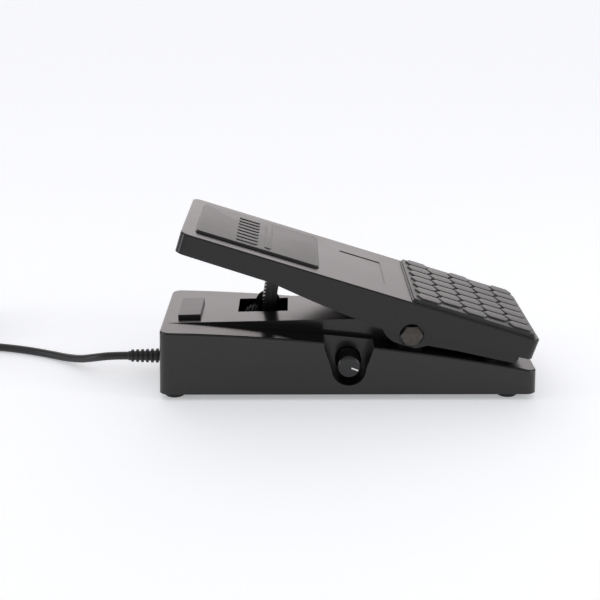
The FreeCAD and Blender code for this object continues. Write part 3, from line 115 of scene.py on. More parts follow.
@dataclass(frozen=True)
class Finish:
    """One finish of the pedal, from what the material is and how it was made."""

    name: str
    colour: str
    worn: str
    roughness: tuple[float, float]
    grain_mm: float
    relief_mm: float
    grain: Grain = Grain.MOULDED
    metallic: float = 0.0
    ior: float = 1.5
    edge_mm: float = 0.0
    mottle_mm: float = 45.0

    def stretch(self) -> tuple[float, float, float]:
        """Return how the relief's pattern is scaled along X, Y and Z."""
        return (0.04, 1.0, 1.0) if self.grain is Grain.DRAWN else (1.0, 1.0, 1.0)

    def material(self) -> bpy.types.Material:
        """Build the material, or return it when it exists already.

        Returns:
            The material with colour, roughness and relief from Object coordinates.
        """
        found = bpy.data.materials.get(self.name)
        if found:
            return found
        material = bpy.data.materials.new(self.name)
        material.use_nodes = True
        tree = material.node_tree
        tree.nodes.clear()
        place = add_node(tree, "ShaderNodeTexCoord").outputs["Object"]
        drawn = add_node(tree, "ShaderNodeMapping", inputs={"Vector": place, "Scale": self.stretch()})
        fine = add_node(
            tree, "ShaderNodeTexNoise", inputs={
                "Vector": drawn.outputs["Vector"], "Scale": 1 / (self.grain_mm * MM),
                "Detail": 3.0, "Roughness": 0.55})
        broad = add_node(
            tree, "ShaderNodeTexNoise", inputs={
                "Vector": place, "Scale": 1 / (self.mottle_mm * MM), "Detail": 4.0, "Roughness": 0.6})
        blend = add_node(tree, "ShaderNodeMapRange", inputs={
            "Value": broad.outputs["Fac"], "From Min": 0.35, "From Max": 0.7})
        colour = add_node(
            tree, "ShaderNodeMix", {"data_type": "RGBA"}, {
                "Factor": blend.outputs["Result"], "A": linear(self.colour), "B": linear(self.worn)})
        mixed = add_node(
            tree, "ShaderNodeMath", {"operation": "MULTIPLY_ADD"}, {
                0: fine.outputs["Fac"], 1: 0.5, 2: add_node(
                    tree, "ShaderNodeMath", {"operation": "MULTIPLY"},
                    {0: broad.outputs["Fac"], 1: 0.5}).outputs[0]})
        rough = add_node(tree, "ShaderNodeMapRange", inputs={
            "Value": mixed.outputs[0], "From Min": 0.3, "From Max": 0.7,
            "To Min": self.roughness[0], "To Max": self.roughness[1]})
        relief = add_node(tree, "ShaderNodeBump", inputs={
            "Height": fine.outputs["Fac"], "Strength": 1.0, "Distance": self.relief_mm * MM})
        if self.edge_mm:
            edge = add_node(tree, "ShaderNodeBevel", {"samples": 4}, {"Radius": self.edge_mm * MM})
            tree.links.new(edge.outputs["Normal"], relief.inputs["Normal"])
        shader = add_node(
            tree, "ShaderNodeBsdfPrincipled", inputs={
                "Base Color": colour.outputs["Result"], "Roughness": rough.outputs["Result"],
                "Normal": relief.outputs["Normal"], "Metallic": self.metallic, "IOR": self.ior})
        add_node(tree, "ShaderNodeOutputMaterial", inputs={"Surface": shader.outputs["BSDF"]})
        return material


# Moulded parts: injection-moulded ABS has a satin skin that mirrors at a low angle. The mould
# texture is drawn as coarse as 0.5 mm, because the real 0.1 mm grain is too fine to show.
HOUSING_ABS = Finish("satin_moulded_abs", "#151313", "#1a1717", (0.17, 0.26), 0.5, 0.003, edge_mm=0.35)
TREADLE_ABS = Finish("satin_moulded_abs_treadle", "#141212", "#181616", (0.20, 0.30), 0.5, 0.004,
                     ior=1.44, edge_mm=0.35)
# Pads: moulded nitrile rubber is duller and a touch greyer than the plastic round it.
PAD_RUBBER = Finish("matt_moulded_rubber", "#222322", "#292a29", (0.30, 0.42), 0.6, 0.007)
FOOT_RUBBER = Finish("soft_foot_rubber", "#121212", "#191919", (0.55, 0.7), 0.7, 0.012)
STOP_RUBBER = Finish("toe_stop_rubber", "#151414", "#1b1a1a", (0.28, 0.38), 0.6, 0.008)
# Metals: the sheet bracket and the turned aluminium keep the tool's fine lines; the other plated and turned parts
# are smooth.
POWDER_COAT = Finish("black_powder_coat", "#171717", "#1e1e1e", (0.40, 0.55), 0.9, 0.02)
ZINC_STEEL = Finish("zinc_plated_steel", "#b9b8b2", "#a3a29a", (0.28, 0.42), 0.35, 0.003, Grain.SMOOTH, 1.0)
BLACK_BOLT = Finish("blackened_bolt_steel", "#45423e", "#58544f", (0.3, 0.46), 0.45, 0.006, Grain.SMOOTH,
                    1.0, edge_mm=0.25, mottle_mm=4.0)
TURNED_BRASS = Finish("turned_brass", "#c9a860", "#b8974f", (0.22, 0.34), 0.3, 0.002, Grain.SMOOTH, 1.0)
BRACKET_STEEL = Finish("black_zinc_sheet", "#3d3c3a", "#4a4845", (0.25, 0.4), 0.5, 0.004, Grain.DRAWN, 1.0,
                       edge_mm=0.2)
NICKEL = Finish("polished_nickel", "#cfccc4", "#c3bfb6", (0.10, 0.18), 0.3, 0.001, Grain.SMOOTH, 1.0)
TINNED = Finish("tinned_brass", "#c8c7c0", "#b5b4ac", (0.3, 0.45), 0.4, 0.003, Grain.SMOOTH, 1.0)
ALUMINIUM = Finish("turned_aluminium", "#cfd0d2", "#c0c1c4", (0.25, 0.35), 0.3, 0.002, Grain.DRAWN, 1.0)
# Small plastics.
NYLON = Finish("natural_nylon", "#d6d2c4", "#cbc6b6", (0.4, 0.5), 0.5, 0.004)
ARM_ACETAL = Finish("black_acetal", "#161616", "#1c1c1c", (0.22, 0.32), 0.5, 0.003, edge_mm=0.3)
KNOB_PLASTIC = Finish("gloss_knob_plastic", "#131314", "#171718", (0.16, 0.26), 0.3, 0.002)
POINTER_PAINT = Finish("white_inlay_paint", "#f2f2ee", "#e6e6e0", (0.4, 0.5), 0.2, 0.002)
# Painted shade: the pinion is a black gear, made darker still and with its reflection damped by a low IOR, so that
# it stands for the shade inside the slot.
SLOT_SHADE_GEAR = Finish("gear_darkened_as_slot_shade", "#0a0a0a", "#0e0e0e", (0.6, 0.75), 0.5, 0.003, ior=1.2)
# Painted shade: the pot's nut, can and shaft are nickel plated, but they are drawn dark so that they stand for the
# shade inside the slot.
SLOT_SHADE_POT_METAL = Finish("pot_metal_darkened_as_slot_shade", "#262524", "#2e2c2b", (0.5, 0.65), 0.5, 0.004, Grain.SMOOTH, 1.0)
CABLE_PVC = Finish("extruded_cable_pvc", "#1a1a1b", "#212122", (0.34, 0.46), 0.7, 0.006, mottle_mm=25.0)
RELIEF_PVC = Finish("moulded_relief_pvc", "#161617", "#1c1c1d", (0.36, 0.48), 0.5, 0.006)
INSULATOR = Finish("black_insulator", "#131313", "#181818", (0.2, 0.3), 0.3, 0.002)
WIRE_PVC = Finish("red_wire_pvc", "#8c1616", "#7a1111", (0.35, 0.45), 0.4, 0.003)

SLOT_FINISHES: dict[str, Finish] = {
    "housing_abs": HOUSING_ABS, "treadle_abs": TREADLE_ABS, "pad_rubber": PAD_RUBBER,
    "foot_rubber": FOOT_RUBBER, "plate_steel": POWDER_COAT, "zinc_screw": ZINC_STEEL,
    "bolt_steel": BLACK_BOLT, "brass": TURNED_BRASS, "nylon": NYLON, "arm_acetal": ARM_ACETAL,
    "bracket_steel": BRACKET_STEEL, "pot_steel": NICKEL, "lug_tin": TINNED, "shaft_aluminium": ALUMINIUM,
    "knob_plastic": KNOB_PLASTIC, "pointer_white": POINTER_PAINT, "relief_pvc": RELIEF_PVC,
    "cable_pvc": CABLE_PVC, "clamp_nylon": NYLON, "plug_moulding": RELIEF_PVC, "plug_nickel": NICKEL,
    "plug_insulator": INSULATOR, "wire_insulation": WIRE_PVC,
}


# ---------------------------------------------------------------------------------------------
# Mesh helpers: all sizes in mm, turned to metres when the mesh is made
# ---------------------------------------------------------------------------------------------
def new_piece(name: str, work: bmesh.types.BMesh, place: Matrix | None = None) -> bpy.types.Object:
    """Turn a working mesh in mm into a piece in metres.

    Args:
        name: The piece's name.
        work: The working mesh, which is freed.
        place: Where the piece goes in the shared frame.

    Returns:
        The new object, at the origin, with its place in its mesh.
    """
    bmesh.ops.recalc_face_normals(work, faces=work.faces)
    mesh = bpy.data.meshes.new(name)
    work.to_mesh(mesh)
    work.free()
    mesh.transform(Matrix.Scale(MM, 4))
    mesh.transform(place or Matrix.Identity(4))
    mesh.shade_smooth()
    mesh.set_sharp_from_angle(angle=math.radians(32))
    piece = bpy.data.objects.new(name, mesh)
    bpy.context.scene.collection.objects.link(piece)
    return piece


def rectangle(length: float, width: float) -> list[Vector]:
    """Return the corners of a rectangle centred on the origin, counter-clockwise."""
    return [Vector((x * length / 2, y * width / 2)) for x, y in ((-1, -1), (1, -1), (1, 1), (-1, 1))]


def long_hexagon(length: float, width: float, tip: float) -> list[Vector]:
    """Return the corners of a hexagon whose two tips point along X, counter-clockwise."""
    shoulder = length / 2 - tip
    return [Vector(p) for p in (
        (-length / 2, 0), (-shoulder, -width / 2), (shoulder, -width / 2),
        (length / 2, 0), (shoulder, width / 2), (-shoulder, width / 2))]


def rounded(corners: Sequence[Vector], inset: float, corner: float, steps: int = 6) -> list[Vector]:
    """Move a convex outline inwards and round its corners.

    Args:
        corners: The outline's corners, counter-clockwise.
        inset: How far the outline moves in.
        corner: Corner radius at an inset of 0.
        steps: Parts in each corner's arc.

    Returns:
        The outline's points, always as many for the same corners.
    """
    radius = max(corner - inset, 0.03)
    sides = []
    for start, end in zip(corners, [*corners[1:], corners[0]]):
        along = (end - start).normalized()
        sides.append((start + Vector((-along.y, along.x)) * inset, along))
    points = []
    for (first, d1), (second, d2) in zip([sides[-1], *sides[:-1]], sides):
        crossing = d1.cross(d2)
        vertex = first + d1 * ((second - first).cross(d2) / crossing)
        turn = math.atan2(crossing, d1.dot(d2))
        inward = Vector((-d1.y, d1.x))
        centre = vertex - d1 * radius * math.tan(turn / 2) + inward * radius
        for step in range(steps + 1):
            angle = math.atan2(-inward.y, -inward.x) + turn * step / steps
            points.append(centre + Vector((math.cos(angle), math.sin(angle))) * radius)
    return points


def stack(
    work: bmesh.types.BMesh,
    corners: Sequence[Vector],
    corner: float,
    rings: Sequence[tuple[float, float]],
    centre: tuple[float, float] = (0.0, 0.0),
) -> None:
    """Add a closed solid built of rings with rounded corners, one above the other.

    Args:
        work: The working mesh.
        corners: The outline's corners at an inset of 0.
        corner: Its corner radius.
        rings: (inset, height) from the bottom to the top.
        centre: The solid's middle in X and Y.
    """
    loops = []
    for inset, height in rings:
        outline = rounded(corners, inset, corner)
        loops.append([work.verts.new((centre[0] + p.x, centre[1] + p.y, height)) for p in outline])
    for low, high in zip(loops, loops[1:]):
        count = len(low)
        for i in range(count):
            j = (i + 1) % count
            work.faces.new((low[i], low[j], high[j], high[i]))
    work.faces.new(list(reversed(loops[0])))
    work.faces.new(loops[-1])


def eased(inset: float, height: float, radius: float, steps: int = 4) -> list[tuple[float, float]]:
    """Return rings that round the top edge of a stacked solid.

    Args:
        inset: Inset of the side under the round.
        height: Height of the top.
        radius: Radius of the round.
        steps: Rings along the round.

    Returns:
        (inset, height) pairs from the side to the top.
    """
    rings = []
    for step in range(steps + 1):
        angle = math.radians(90 * step / steps)
        rings.append((inset + radius * (1 - math.cos(angle)), height - radius * (1 - math.sin(angle))))
    return rings


def lathe(
    work: bmesh.types.BMesh,
    profile: Sequence[tuple[float, float]],
    segments: int = 64,
    reach: Callable[[float, float, float], float] | None = None,
) -> None:
    """Add a solid turned about Z.

    Args:
        work: The working mesh.
        profile: (radius, height) from one end to the other; a radius of 0 closes an end.
        segments: Points round the solid.
        reach: Gives the radius from (radius, height, angle), where the solid isn't round.
    """
    loops = []
    for radius, height in profile:
        if radius < 1e-6:
            loops.append([work.verts.new((0, 0, height))])
            continue
        loop = []
        for step in range(segments):
            angle = math.tau * step / segments
            here = reach(radius, height, angle) if reach else radius
            loop.append(work.verts.new((here * math.cos(angle), here * math.sin(angle), height)))
        loops.append(loop)
    for low, high in zip(loops, loops[1:]):
        for i in range(segments):
            j = (i + 1) % segments
            if len(low) == 1:
                work.faces.new((low[0], high[i], high[j]))
            elif len(high) == 1:
                work.faces.new((low[i], low[j], high[0]))
            else:
                work.faces.new((low[i], low[j], high[j], high[i]))


def repeats_tree() -> bpy.types.NodeTree:
    """Build the Geometry Nodes tree that lays out copies of a template in rows and columns.

    Returns:
        The node group, with named inputs for the template, the counts, the pitches and the stagger.
    """
    name = "rows_and_columns"
    if name in bpy.data.node_groups:
        return bpy.data.node_groups[name]
    tree = bpy.data.node_groups.new(name, "GeometryNodeTree")
    sockets = (
        ("Template", "NodeSocketObject"), ("Columns", "NodeSocketInt"), ("Rows", "NodeSocketInt"),
        ("Column Pitch", "NodeSocketFloat"), ("Row Pitch", "NodeSocketFloat"),
        ("Stagger", "NodeSocketFloat"), ("Finish", "NodeSocketMaterial"),
    )
    for socket, kind in sockets:
        tree.interface.new_socket(socket, in_out="INPUT", socket_type=kind)
    tree.interface.new_socket("Geometry", in_out="OUTPUT", socket_type="NodeSocketGeometry")
    given = add_node(tree, "NodeGroupInput").outputs
    index = add_node(tree, "GeometryNodeInputIndex").outputs[0]

    def math_node(operation: str, first: object, second: object = 0.0) -> bpy.types.NodeSocket:
        """Return the result of one sum in the tree."""
        return add_node(tree, "ShaderNodeMath", {"operation": operation}, {0: first, 1: second}).outputs[0]

    count = math_node("MULTIPLY", given["Columns"], given["Rows"])
    column = math_node("FLOOR", math_node("DIVIDE", math_node("ADD", index, 0.01), given["Rows"]))
    row = math_node("SUBTRACT", index, math_node("MULTIPLY", column, given["Rows"]))
    odd = math_node("MODULO", column, 2.0)
    shifted = math_node("ADD", row, math_node("MULTIPLY", odd, given["Stagger"]))
    spot = add_node(tree, "ShaderNodeCombineXYZ", inputs={
        "X": math_node("MULTIPLY", column, given["Column Pitch"]),
        "Y": math_node("MULTIPLY", shifted, given["Row Pitch"])})
    points = add_node(tree, "GeometryNodePoints", inputs={"Count": count, "Position": spot.outputs[0]})
    past_end = math_node("GREATER_THAN", shifted, math_node("SUBTRACT", given["Rows"], 0.99))
    kept = add_node(tree, "GeometryNodeDeleteGeometry", {"domain": "POINT"}, {
        "Geometry": points.outputs[0], "Selection": past_end})
    template = add_node(tree, "GeometryNodeObjectInfo", inputs={"Object": given["Template"]})
    copies = add_node(tree, "GeometryNodeInstanceOnPoints", inputs={
        "Points": kept.outputs[0], "Instance": template.outputs["Geometry"]})
    real = add_node(tree, "GeometryNodeRealizeInstances", inputs={"Geometry": copies.outputs[0]})
    dressed = add_node(tree, "GeometryNodeSetMaterial", inputs={
        "Geometry": real.outputs[0], "Material": given["Finish"]})
    add_node(tree, "NodeGroupOutput", inputs={"Geometry": dressed.outputs[0]})
    return tree


def repeated(
    name: str, template: bpy.types.Object, finish: Finish, place: Matrix, **inputs: float
) -> bpy.types.Object:
    """Lay out copies of a template with Geometry Nodes, and turn them into a plain mesh.

    Args:
        name: The new piece's name.
        template: The piece that is repeated, which is removed afterwards.
        finish: The finish of the copies.
        place: Where the first copy's origin goes in the shared frame.
        inputs: The tree's inputs by name, with _ for a space.

    Returns:
        The copies as one piece.
    """
    carrier = bpy.data.objects.new(name, bpy.data.meshes.new(name + "_carrier"))
    bpy.context.scene.collection.objects.link(carrier)
    tree = repeats_tree()
    modifier = carrier.modifiers.new("rows", "NODES")
    modifier.node_group = tree
    values = {key.replace("_", " ").title(): value for key, value in inputs.items()}
    values.update({"Template": template, "Finish": finish.material()})
    for item in tree.interface.items_tree:
        if item.in_out == "INPUT" and item.name in values:
            modifier[item.identifier] = values[item.name]
    bpy.context.view_layer.update()
    evaluated = carrier.evaluated_get(bpy.context.evaluated_depsgraph_get())
    mesh = bpy.data.meshes.new_from_object(evaluated)
    carrier.modifiers.clear()
    carrier.data = mesh
    mesh.transform(place)
    bpy.data.objects.remove(template)
    return carrier


def joined(name: str, pieces: Sequence[bpy.types.Object]) -> bpy.types.Object:
    """Join pieces into one object, and name it."""
    with bpy.context.temp_override(active_object=pieces[0], selected_editable_objects=list(pieces)):
        bpy.ops.object.join()
    pieces[0].name = name
    pieces[0].data.name = name
    return pieces[0]


def settle(
    piece: bpy.types.Object, body: str, finish: Finish, replaced: Sequence[str] = ()
) -> bpy.types.Object:
    """Give a piece its finish, its body and the CAD nodes that it stands for.

    Args:
        piece: The finished piece.
        body: The body that it moves with.
        finish: Its finish.
        replaced: CAD nodes that it replaces.

    Returns:
        The piece.
    """
    piece.data.materials.clear()
    piece.data.materials.append(finish.material())
    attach(piece, body)
    if replaced:
        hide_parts(*replaced)
    LOG.info("%s rides on %s", piece.name, body)
    return piece


# ---------------------------------------------------------------------------------------------
# Carried-over nodes
# ---------------------------------------------------------------------------------------------
class CarriedNodes:
    """The CAD nodes whose shape is right, which only get their finishes."""

    # Painted shade: the pinion and the pot's nut, can and shaft inside the slot get dark finishes that stand for
    # the shade there. The toe stop gets its own rubber.
    special: dict[str, Finish] = {
        "toe_stop": STOP_RUBBER, "drive_pinion": SLOT_SHADE_GEAR, "sweep_pot_nut": SLOT_SHADE_POT_METAL,
        "sweep_pot_can": SLOT_SHADE_POT_METAL, "sweep_pot_shaft": SLOT_SHADE_POT_METAL}

    def dress(self) -> None:
        """Give every CAD node the finish of its material slot."""
        for entry in frame["record"]["subparts"]:
            node = frame["nodes"][entry["node"]]
            finish = self.special.get(entry["node"], SLOT_FINISHES[entry["material_slot"]])
            if not node.material_slots:
                node.data.materials.append(finish.material())
            for slot in node.material_slots:
                slot.material = finish.material()


# ---------------------------------------------------------------------------------------------
# Treadle pads
# ---------------------------------------------------------------------------------------------
@dataclass
class TreadlePads:
    """The two rubber pads, in the treadle's own frame: mm from the pivot along its top."""

    toe_end: float = -164.2
    top: float = 22.0
    sink: float = 0.6
    corner: float = 3.0
    toe_from: float = 8.9
    toe_size: tuple[float, float] = (84.4, 77.0)
    toe_proud: float = 1.6
    motif_from: float = 34.0
    motif_height: float = 0.55
    long_bar: tuple[float, float] = (4.6, 62.0)
    long_bar_at: tuple[float, float] = (23.5, -2.0)
    short_bar: tuple[float, float] = (15.0, 4.4)
    short_bar_at: tuple[float, float] = (9.0, -30.0)
    short_bars: int = 8
    short_bar_pitch: float = 8.0
    heel_from: float = 157.3
    heel_size: tuple[float, float] = (86.6, 97.0)
    heel_proud: float = 3.4
    sheet_proud: float = 2.3
    columns: int = 5
    rows: int = 7
    column_pitch: float = 16.15
    row_pitch: float = 13.35
    groove: float = 1.1
    tip: float = 3.2
    first_margin: float = 2.6

    def middle(self, start: float, length: float) -> float:
        """Return the middle of a pad along the treadle."""
        return self.toe_end + start + length / 2

    def toe_pad(self) -> bpy.types.Object:
        """Build the toe pad: a thin sheet with a rolled edge and a row of raised bars.

        Returns:
            The toe pad.
        """
        work = bmesh.new()
        length, width = self.toe_size
        centre = (self.middle(self.toe_from, length), 0.0)
        face = self.top + self.toe_proud
        rings = [(0.0, self.top - self.sink), (0.0, self.top + 0.4), (0.15, self.top + 0.55),
                 (0.55, self.top + 0.6)]
        stack(work, rectangle(length, width), self.corner, rings + eased(0.6, face, 0.6, 6), centre)
        start = self.toe_end + self.motif_from
        bar_top = face + self.motif_height
        stack(work, rectangle(*self.long_bar), 2.2, [(0.0, face - 0.4)] + eased(0.0, bar_top, 0.5),
              (start + self.long_bar_at[0], self.long_bar_at[1]))
        pad = new_piece("toe_pad_sheet", work, ON_TREADLE)
        bar = bmesh.new()
        stack(bar, rectangle(*self.short_bar), 2.1, [(0.0, -0.4)] + eased(0.0, self.motif_height, 0.5))
        template = new_piece("grip_bar", bar)
        along, across = self.short_bar_at
        first = ON_TREADLE @ Matrix.Translation(Vector((start + along, across, face)) * MM)
        bars = repeated("toe_pad_bars", template, PAD_RUBBER, first, columns=1, rows=self.short_bars,
                        row_pitch=self.short_bar_pitch * MM, column_pitch=0.0, stagger=0.0)
        return settle(joined("toe_pad_rubber", [pad, bars]), "treadle", PAD_RUBBER,
                      ["toe_pad"])

    def heel_pad(self) -> bpy.types.Object:
        """Build the heel pad: a stepped sheet that carries staggered raised blocks.

        Returns:
            The heel pad.
        """
        work = bmesh.new()
        length, width = self.heel_size
        centre = (self.middle(self.heel_from, length), 0.0)
        sheet = self.top + self.sheet_proud
        rings = [(0.0, self.top - self.sink), (0.0, self.top + 0.5), (0.2, self.top + 0.75),
                 (0.9, self.top + 0.85)]
        stack(work, rectangle(length, width), self.corner, rings + eased(0.95, sheet, 0.7), centre)
        pad = new_piece("heel_pad_sheet", work, ON_TREADLE)
        block_width = self.row_pitch - self.groove
        block_length = self.column_pitch + self.tip - self.groove * 1.2
        block = bmesh.new()
        stack(block, long_hexagon(block_length, block_width, self.tip), 1.7,
              [(-0.25, -0.3), (-0.1, 0.1)] + eased(0.15, self.heel_proud - self.sheet_proud, 0.6, 5))
        template = new_piece("tread_block", block)
        first = Vector((self.toe_end + self.heel_from + self.first_margin + block_length / 2,
                        -(self.rows - 1) / 2 * self.row_pitch, sheet))
        blocks = repeated("heel_pad_blocks", template, PAD_RUBBER,
                          ON_TREADLE @ Matrix.Translation(first * MM), columns=self.columns,
                          rows=self.rows, column_pitch=self.column_pitch * MM,
                          row_pitch=self.row_pitch * MM, stagger=0.5)
        return settle(joined("heel_pad_rubber", [pad, blocks]), "treadle", PAD_RUBBER,
                      ["heel_pad"])

    def build(self) -> list[bpy.types.Object]:
        """Build both pads."""
        return [self.toe_pad(), self.heel_pad()]


# ---------------------------------------------------------------------------------------------
# Range knob
# ---------------------------------------------------------------------------------------------
@dataclass
class RangeKnob:
    """The fluted knob in the recess: mm from its root along its axis."""

    root_y: float = -33.8
    length: float = 14.8
    skirt_radius: float = 8.8
    side_radius: float = 8.35
    face_radius: float = 7.4
    shaft_radius: float = 3.0
    flutes: int = 36
    flute_depth: float = 0.28
    waist: float = 2.45
    rim: float = 0.9

    def reach(self, radius: float, height: float, angle: float) -> float:
        """Return the radius with the flutes cut in, which fade out towards the face."""
        if not self.waist - 0.05 < height < self.length - self.rim:
            return radius
        return radius - self.flute_depth * (0.5 - 0.5 * math.cos(self.flutes * angle)) ** 1.5

    def build(self) -> bpy.types.Object:
        """Build the knob at the place that it has in the frame.

        Returns:
            The knob.
        """
        work = bmesh.new()
        outer = [(self.skirt_radius - 0.25, 0.0), (self.skirt_radius, 0.25), (self.skirt_radius, 1.7),
                 (self.skirt_radius - 0.2, 2.1), (self.side_radius, 2.3), (self.side_radius, self.waist)]
        steps = 8
        for step in range(1, steps + 1):
            share = step / steps
            outer.append((self.side_radius + (self.face_radius + 0.25 - self.side_radius) * share,
                          self.waist + (self.length - self.rim - self.waist) * share))
        rim = [(self.face_radius + 0.2, self.length - 0.8), (self.face_radius - 0.35, self.length - 0.12),
               (self.face_radius - 0.6, self.length), (3.2, self.length), (0.0, self.length)]
        inner = [(0.0, 6.2), (self.shaft_radius, 6.2), (self.shaft_radius, 5.0),
                 (self.skirt_radius - 1.6, 4.4), (self.skirt_radius - 1.5, 0.0)]
        lathe(work, inner + outer + rim, self.flutes * 6, self.reach)
        place = Matrix.Translation(Vector((KNOB_AXIS.x, self.root_y * MM, KNOB_AXIS.z)))
        turned = place @ Matrix.Rotation(math.radians(90), 4, "X")
        knob = new_piece("range_knob_fluted", work, turned)
        return settle(knob, "knob", KNOB_PLASTIC, ["range_knob"])


# ---------------------------------------------------------------------------------------------
# Cable, strain relief and plug
# ---------------------------------------------------------------------------------------------
def smooth(share: float) -> float:
    """Return a smooth step from 0 to 1 as share goes from 0 to 1."""
    held = min(max(share, 0.0), 1.0)
    return held * held * (3 - 2 * held)


def band(inner: float, outer: float, half: float, ease: float) -> list[tuple[float, float]]:
    """Return the closed section of a band round an axis, with its outer edges eased.

    Args:
        inner: Its inner radius.
        outer: Its outer radius.
        half: Half of its width along the axis.
        ease: How far its outer edges are cut.

    Returns:
        Radius and height of each point.
    """
    return [(inner, -half), (outer - ease, -half), (outer, ease - half), (outer, half - ease),
            (outer - ease, half), (inner, half), (inner, -half)]


@dataclass
class Cable:
    """The attached cable, its strain relief and the moulded boot of its plug, in mm."""

    diameter: float = 5.8
    total_m: float = 1.75
    exit: tuple[float, float, float] = (-153.75, 0.0, 13.5)
    housing_end: float = -126.75
    flange: float = 5.4
    neck: float = 4.1
    ribs: int = 6
    first_rib: float = 6.4
    rib_pitch: float = 3.5
    rib_taper: float = 0.20
    coil_centre: tuple[float, float] = (-321.0, 84.2)
    coil_radii: tuple[float, float] = (33.6, 27.7)
    layers: int = 4
    turns_per_layer: int = 2
    points_per_turn: int = 16
    plug: tuple[float, float, float] = (-291.2, 25.0, 7.0)
    boot_length: float = 36.0
    first_grip_ring: float = 17.5
    grip_rings: int = 7
    grip_pitch: float = 2.4
    lead: list[tuple[float, float, float]] = field(default_factory=lambda: [
        (-153.75, 0.0, 13.5), (-165.0, 0.0, 13.5), (-177.2, 3.4, 10.9), (-189.6, 12.0, 6.2),
        (-203.0, 22.6, 3.4), (-218.0, 31.6, 2.9), (-236.0, 39.6, 2.9), (-256.0, 45.9, 2.9),
        (-277.0, 49.7, 2.9), (-300.0, 50.6, 2.9),
    ])
    tail: list[tuple[float, float, float]] = field(default_factory=lambda: [
        (-287.5, 71.0, 20.0), (-288.6, 57.5, 14.6), (-290.4, 45.0, 9.2), (-291.2, 34.0, 7.0),
        (-291.2, 25.0, 7.0),
    ])

    def coil(self) -> list[tuple[float, float, float]]:
        """Return the coil's control points: each layer has an outer and an inner turn.

        Returns:
            Points from where the lead joins the coil to where the tail leaves it.
        """
        outer, inner = self.coil_radii
        step = math.tau / self.points_per_turn
        bulge = 1 / math.cos(step / 2)
        first = -math.radians(78.75)
        count = int((self.layers * self.turns_per_layer - 0.25 + 0.0625) * self.points_per_turn) + 1
        points = []
        for index in range(count):
            turn = index / self.points_per_turn
            layer = min(int(turn / self.turns_per_layer), self.layers - 1)
            within = turn - layer * self.turns_per_layer
            share = smooth((within - 0.8) / 0.4)
            if layer % 2:
                share = 1 - share
            radius = outer + (inner - outer) * share
            climb = smooth((within - (self.turns_per_layer - 0.3)) / 0.3) if layer < self.layers - 1 else 0
            height = self.diameter * (0.5 + layer + climb)
            angle = first - index * step
            points.append((self.coil_centre[0] + radius * bulge * math.cos(angle),
                           self.coil_centre[1] + radius * bulge * math.sin(angle), height))
        return points

    def cord(self) -> bpy.types.Object:
        """Returns:
            The cable.
        """
        curve = bpy.data.curves.new("cable", "CURVE")
        curve.dimensions = "3D"
        spline = curve.splines.new("NURBS")
        points = self.lead + self.coil() + self.tail
        spline.points.add(len(points) - 1)
        for point, place in zip(spline.points, points):
            point.co = (*(value * MM for value in place), 1.0)
        spline.order_u = 3
        spline.use_endpoint_u = True
        spline.resolution_u = 6
        curve.bevel_depth = self.diameter / 2 * MM
        curve.bevel_resolution = 5
        curve.use_fill_caps = True
        cable = bpy.data.objects.new("cable", curve)
        bpy.context.scene.collection.objects.link(cable)
        settle(cable, "base", CABLE_PVC, ["cable_lead", "cable_coil", "cable_tail"])
        return cable

    def strain_relief(self) -> bpy.types.Object:
        """Build the ribbed strain relief that the cable leaves the housing through.

        Returns:
            The strain relief.
        """
        bore = self.diameter / 2 + 0.02
        body = bore + 0.75
        length = self.housing_end - self.exit[0]
        work = bmesh.new()
        inner_end = -4.4
        profile = [(bore, inner_end), (self.flange - 0.9, inner_end), (self.flange - 0.1, -3.5),
                   (self.neck, -3.4), (self.neck, 0.0), (self.flange - 0.5, 0.0), (self.flange, 0.5),
                   (self.flange, 2.6), (self.flange - 0.5, 3.2), (body + 0.1, 3.4),
                   (body - 0.4, length - 2.4), (bore + 0.5, length - 0.6), (bore, length),
                   (bore, inner_end)]
        lathe(work, profile, 48)
        bmesh.ops.remove_doubles(work, verts=work.verts, dist=1e-4)
        along = Matrix.Translation(Vector((self.housing_end, 0, self.exit[2])) * MM)
        outwards = along @ Matrix.Rotation(math.radians(-90), 4, "Y")
        core = new_piece("relief_core", work, outwards)
        rib = bmesh.new()
        lathe(rib, band(body - 0.4, self.flange, 0.8, 0.2), 48)
        bmesh.ops.remove_doubles(rib, verts=rib.verts, dist=1e-4)
        template = new_piece("relief_rib", rib, Matrix.Rotation(math.radians(90), 4, "Y"))
        first = Matrix.Translation(Vector((self.housing_end - self.first_rib, 0, self.exit[2])) * MM)
        ribs = repeated("relief_ribs", template, RELIEF_PVC, first, columns=self.ribs, rows=1,
                        column_pitch=-self.rib_pitch * MM, row_pitch=0.0, stagger=0.0)
        middle = self.exit[2] * MM
        for vertex in ribs.data.vertices:
            share = (self.housing_end * MM - vertex.co.x) / (length * MM)
            vertex.co.y *= 1 - self.rib_taper * share
            vertex.co.z = middle + (vertex.co.z - middle) * (1 - self.rib_taper * share)
        return settle(joined("strain_relief_ribbed", [core, ribs]), "base", RELIEF_PVC,
                      ["strain_relief"])

